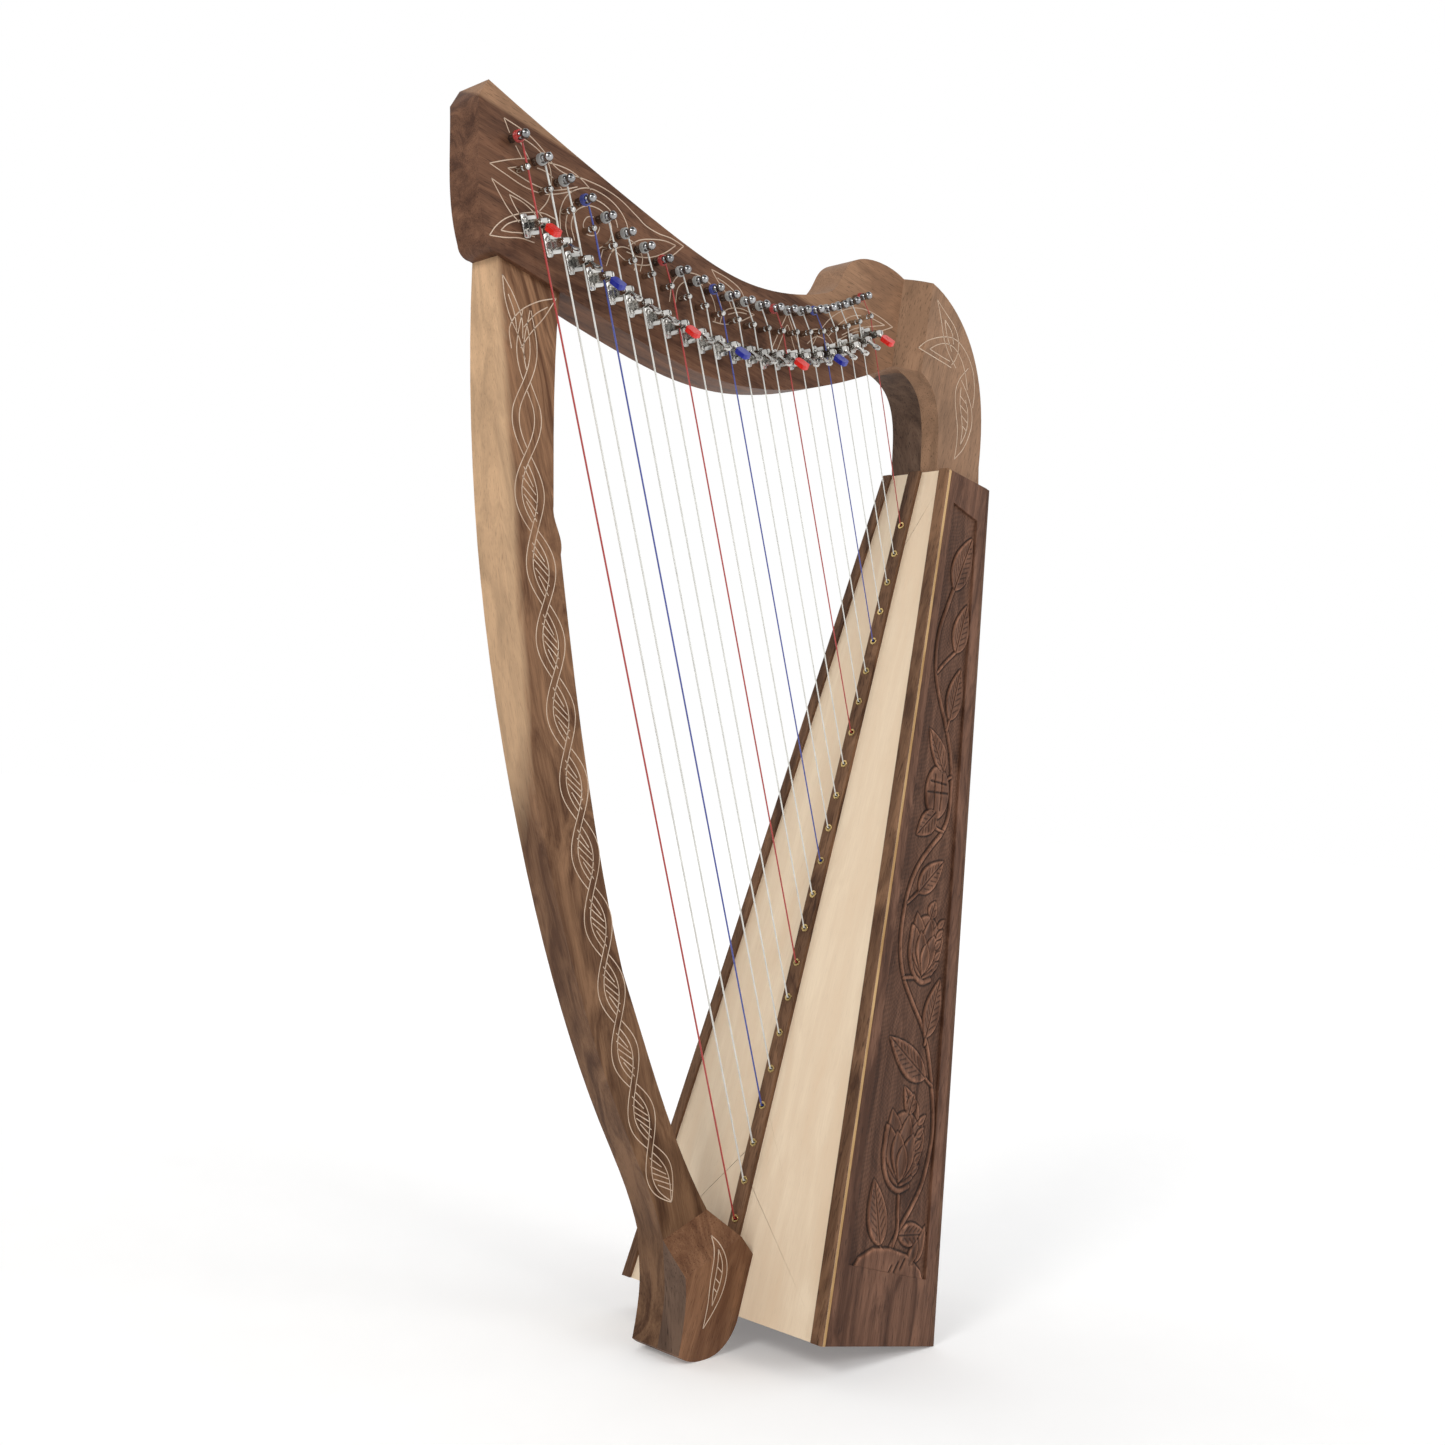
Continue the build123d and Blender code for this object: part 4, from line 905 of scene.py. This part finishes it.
def square_end(centre, low, high, half):
    """Squared end for the tuning key, with its edges broken."""
    vertices = []
    rings = ((low, half), (high - 1.0, half), (high, half - 0.7))
    cut = 0.45
    for y, size in rings:
        outline = [(size, -size + cut), (size, size - cut), (size - cut, size), (-size + cut, size),
                   (-size, size - cut), (-size, -size + cut), (-size + cut, -size), (size - cut, -size)]
        vertices += [(centre[0] + x, y, centre[1] + z) for x, z in outline]
    return vertices, closed_faces(len(rings), len(outline))


def tuning_pin(i):
    """Pin with a ball end, its string wound in a neat coil and the cut tail standing out of the hole."""
    centre = (pins[i].x / MM, pins[i].z / MM)
    radius = string_radius(i)
    ball = math.sqrt(BALL_RADIUS**2 - BALL_NECK**2)
    profile = [(0.35, PIN_TIP + 0.02)]
    profile += [
        (BALL_RADIUS * math.sin(a), PIN_TIP + BALL_RADIUS - BALL_RADIUS * math.cos(a))
        for a in np.linspace(0.25, math.pi - math.asin(BALL_NECK / BALL_RADIUS), 12)
    ]
    neck_y = PIN_TIP + BALL_RADIUS + ball
    profile += [(BALL_NECK, neck_y + 0.5), (PIN_RADIUS - 0.15, neck_y + 1.0), (PIN_RADIUS, neck_y + 1.3)]
    profile += [(PIN_RADIUS, -4.2), (PIN_RADIUS, NECK_RIGHT + 2.4), (PIN_RADIUS - 0.5, NECK_RIGHT + 3.2)]
    parts = [lathe(profile, centre), square_end(centre, NECK_RIGHT + 2.8, KEY_END, 2.0)]
    metal_faces = sum(len(part[1]) for part in parts)
    # the string's last stretch, its turns round the pin and its tail
    bend = [c + offset + step * i for c, offset, step in zip(centre, BRIDGE_OFFSET, BRIDGE_STEP)]
    to_pin = math.hypot(centre[0] - bend[0], centre[1] - bend[1])
    wrap = PIN_RADIUS + radius
    tangent = math.sqrt(to_pin**2 - wrap**2)
    heading = math.atan2(centre[1] - bend[1], centre[0] - bend[0]) - math.atan2(wrap, tangent)
    touch = (bend[0] + tangent * math.cos(heading), bend[1] + tangent * math.sin(heading))
    entry = COIL_TOP - 2 * radius
    clear = math.sqrt((wrap + radius + COIL_GAP) ** 2 - wrap**2)
    line = [(touch[0] - clear * math.cos(heading), entry, touch[1] - clear * math.sin(heading))]
    start = math.atan2(touch[1] - centre[1], touch[0] - centre[0])
    for angle in np.linspace(0, 2 * math.pi * COIL_TURNS, COIL_STEPS):
        line.append((
            centre[0] + wrap * math.cos(start + angle),
            entry - COIL_PITCH * radius * angle / (2 * math.pi),
            centre[1] + wrap * math.sin(start + angle),
        ))
    parts.append(tube(line, radius))
    lean = 0.6 + 0.35 * math.sin(2.1 * i)
    tail_y = entry - 7.2 * radius
    hole = np.array((centre[0], tail_y, centre[1]))
    across_pin = np.array((math.cos(lean), 0, math.sin(lean)))
    low_end, high_end = (hole + reach * across_pin for reach in TAIL_ENDS)
    parts.append(tube([low_end, (low_end + high_end) / 2, high_end + np.array(TAIL_TIP_BEND)], radius * 0.95))
    vertices, faces = [], []
    for part_vertices, part_faces in parts:
        first = len(vertices)
        vertices += [tuple(c * MM for c in vertex) for vertex in part_vertices]
        faces += [tuple(first + index for index in face) for face in part_faces]
    name = f"tuning_pin_{i + 1:02d}"
    wound = by_note(i, red_nylon, blue_nylon, coiled_nylon)
    piece = build(f"wound_pin_{i + 1:02d}", vertices, faces, [pin_steel, wound], body=name)
    index = [0] * metal_faces + [1] * (len(faces) - metal_faces)
    piece.data.polygons.foreach_set("material_index", index)
    piece.data.set_sharp_from_angle(angle=math.radians(50))
    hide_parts(name)


for i in range(STRINGS):
    tuning_pin(i)

# ---------------------------------------------------------------- flanges and screw heads of the levers

FLANGE_X, FLANGE_HALF_WIDTH, FLANGE_HALF_HEIGHT, FLANGE_TOP = -6.0, 2.5, 7.3, 1.55
SCREW_Y, HEAD_LOW, HEAD_RADIUS, HEAD_RISE = 3.4, 2.3, 1.78, 0.75


def on_lever(i, x, y, z):
    """Point in metres from a lever's own axes: across the strings, up the string, out of the neck."""
    foot = Vector((pivots[i].x, NECK_Y * MM, pivots[i].z))
    return tuple(foot + (across[i] * x + up_string[i] * y + OUT_OF_NECK * z) * MM)


def rounded_outline(half_width, half_height, radius):
    outline = []
    for turn, (sx, sy) in enumerate(((1, 1), (-1, 1), (-1, -1), (1, -1))):
        for k in range(5):
            angle = math.pi / 2 * (turn + k / 4)
            outline.append((
                sx * (half_width - radius) + radius * math.cos(angle),
                sy * (half_height - radius) + radius * math.sin(angle),
            ))
    return outline


def lever_flanges():
    """Tall slim flange behind each lever's two screws, with its edges rolled over."""
    vertices, faces = [], []
    for i in range(STRINGS):
        first = len(vertices)
        rings = ((0.0, 0.0), (FLANGE_TOP - 0.35, 0.0), (FLANGE_TOP - 0.08, 0.12), (FLANGE_TOP, 0.4))
        for z, inset in rings:
            for x, y in rounded_outline(FLANGE_HALF_WIDTH - inset, FLANGE_HALF_HEIGHT - inset, 1.3):
                vertices.append(on_lever(i, FLANGE_X + x, y, z))
        count = (len(vertices) - first) // len(rings)
        faces += ring_faces(first, len(rings), count)
        faces.append(tuple(range(len(vertices) - count, len(vertices))))
    piece = build("lever_flanges", vertices, faces, nickel)
    piece.data.set_sharp_from_angle(angle=math.radians(50))


def screw_domes():
    """Domed heads with a cross recess on the lever screws."""
    vertices, faces, dark = [], [], []
    sides, rows = 20, 5
    for i in range(STRINGS):
        for y0 in (SCREW_Y, -SCREW_Y):
            first = len(vertices)
            for row in range(rows):
                slope = math.pi / 2 * row / (rows - 0.6)
                for k in range(sides):
                    angle = 2 * math.pi * k / sides
                    r = HEAD_RADIUS * math.cos(slope)
                    spot = (FLANGE_X + r * math.cos(angle), y0 + r * math.sin(angle))
                    vertices.append(on_lever(i, *spot, HEAD_LOW + HEAD_RISE * math.sin(slope)))
            faces += ring_faces(first, rows, sides)
            faces.append(tuple(range(first + (rows - 1) * sides, first + rows * sides)))
            dark += [0] * ((rows - 1) * sides + 1)
            # cross recess as two thin dark slots: painted shade standing in for the shadow inside the recess
            turned = 0.7 * i + y0
            for quarter in (0.0, math.pi / 2):
                c, s = math.cos(turned + quarter), math.sin(turned + quarter)
                start = len(vertices)
                for z in (HEAD_LOW + HEAD_RISE * 0.55, HEAD_LOW + HEAD_RISE + 0.02):
                    for p, q in ((1.0, 0.2), (-1.0, 0.2), (-1.0, -0.2), (1.0, -0.2)):
                        vertices.append(on_lever(i, FLANGE_X + p * c - q * s, y0 + p * s + q * c, z))
                for k in range(4):
                    faces.append((start + k, start + (k + 1) % 4, start + 4 + (k + 1) % 4, start + 4 + k))
                faces.append((start + 4, start + 5, start + 6, start + 7))
                dark += [1] * 5
    piece = build("screw_heads", vertices, faces, [zinc, shadow_metal])
    piece.data.polygons.foreach_set("material_index", dark)
    piece.data.set_sharp_from_angle(angle=math.radians(50))


lever_flanges()
screw_domes()

# ---------------------------------------------------------------- studio

FLOOR_SURFACE = {
    "Roughness": 0.8,
    "Specular IOR Level": 0.0,
    "Emission Color": (1, 1, 1, 1),
    "Emission Strength": 0.2,
}
floor_paint = Tree("floor_paint", **FLOOR_SURFACE)
cloud = floor_paint.noise(floor_paint.place(), 3, 0.5, 30)
floor_tone = floor_paint.ramp(cloud, (0.3, grey(0.86)), (0.7, grey(0.88)))
floor_paint.plug(floor_paint.shader.inputs["Base Color"], floor_tone)
dark_cloth = Tree("dark_cloth", **{"Base Color": (0.03, 0.03, 0.03, 1), "Roughness": 0.9})
card("floor", [(-90, -90, 0), (90, -90, 0), (90, 90, 0), (-90, 90, 0)], floor_paint.material)
DARK_CARDS = {
    "left_card": [(-3.4, 0.4, 0), (-2.2, 2.2, 0), (-2.2, 2.2, 2.2), (-3.4, 0.4, 2.2)],
    "high_card": [(-2.2, -2.2, 2.6), (0.6, -2.2, 2.6), (0.6, 0.6, 2.6), (-2.2, 0.6, 2.6)],
    "camera_card": [(-2.8, -1.4, 0.0), (-1.2, -3.0, 0.0), (-1.2, -3.0, 1.5), (-2.8, -1.4, 1.5)],
}
for name, corners in DARK_CARDS.items():
    card(name, corners, dark_cloth.material)

world = bpy.data.worlds.new("studio")
bpy.context.scene.world = world
world.use_nodes = True
backdrop = world.node_tree.nodes["Background"]
backdrop.inputs["Color"].default_value = (1, 1, 1, 1)
backdrop.inputs["Strength"].default_value = 1.0
area_light("key", (-2.4, -0.6, 1.9), (0, 0, 0.4), 0.9, 26, (1, 0.98, 0.95))
area_light("fill", (0.6, -2.6, 1.6), (0, 0, 0.4), 1.2, 14)
bpy.context.scene.view_settings.view_transform = "Standard"
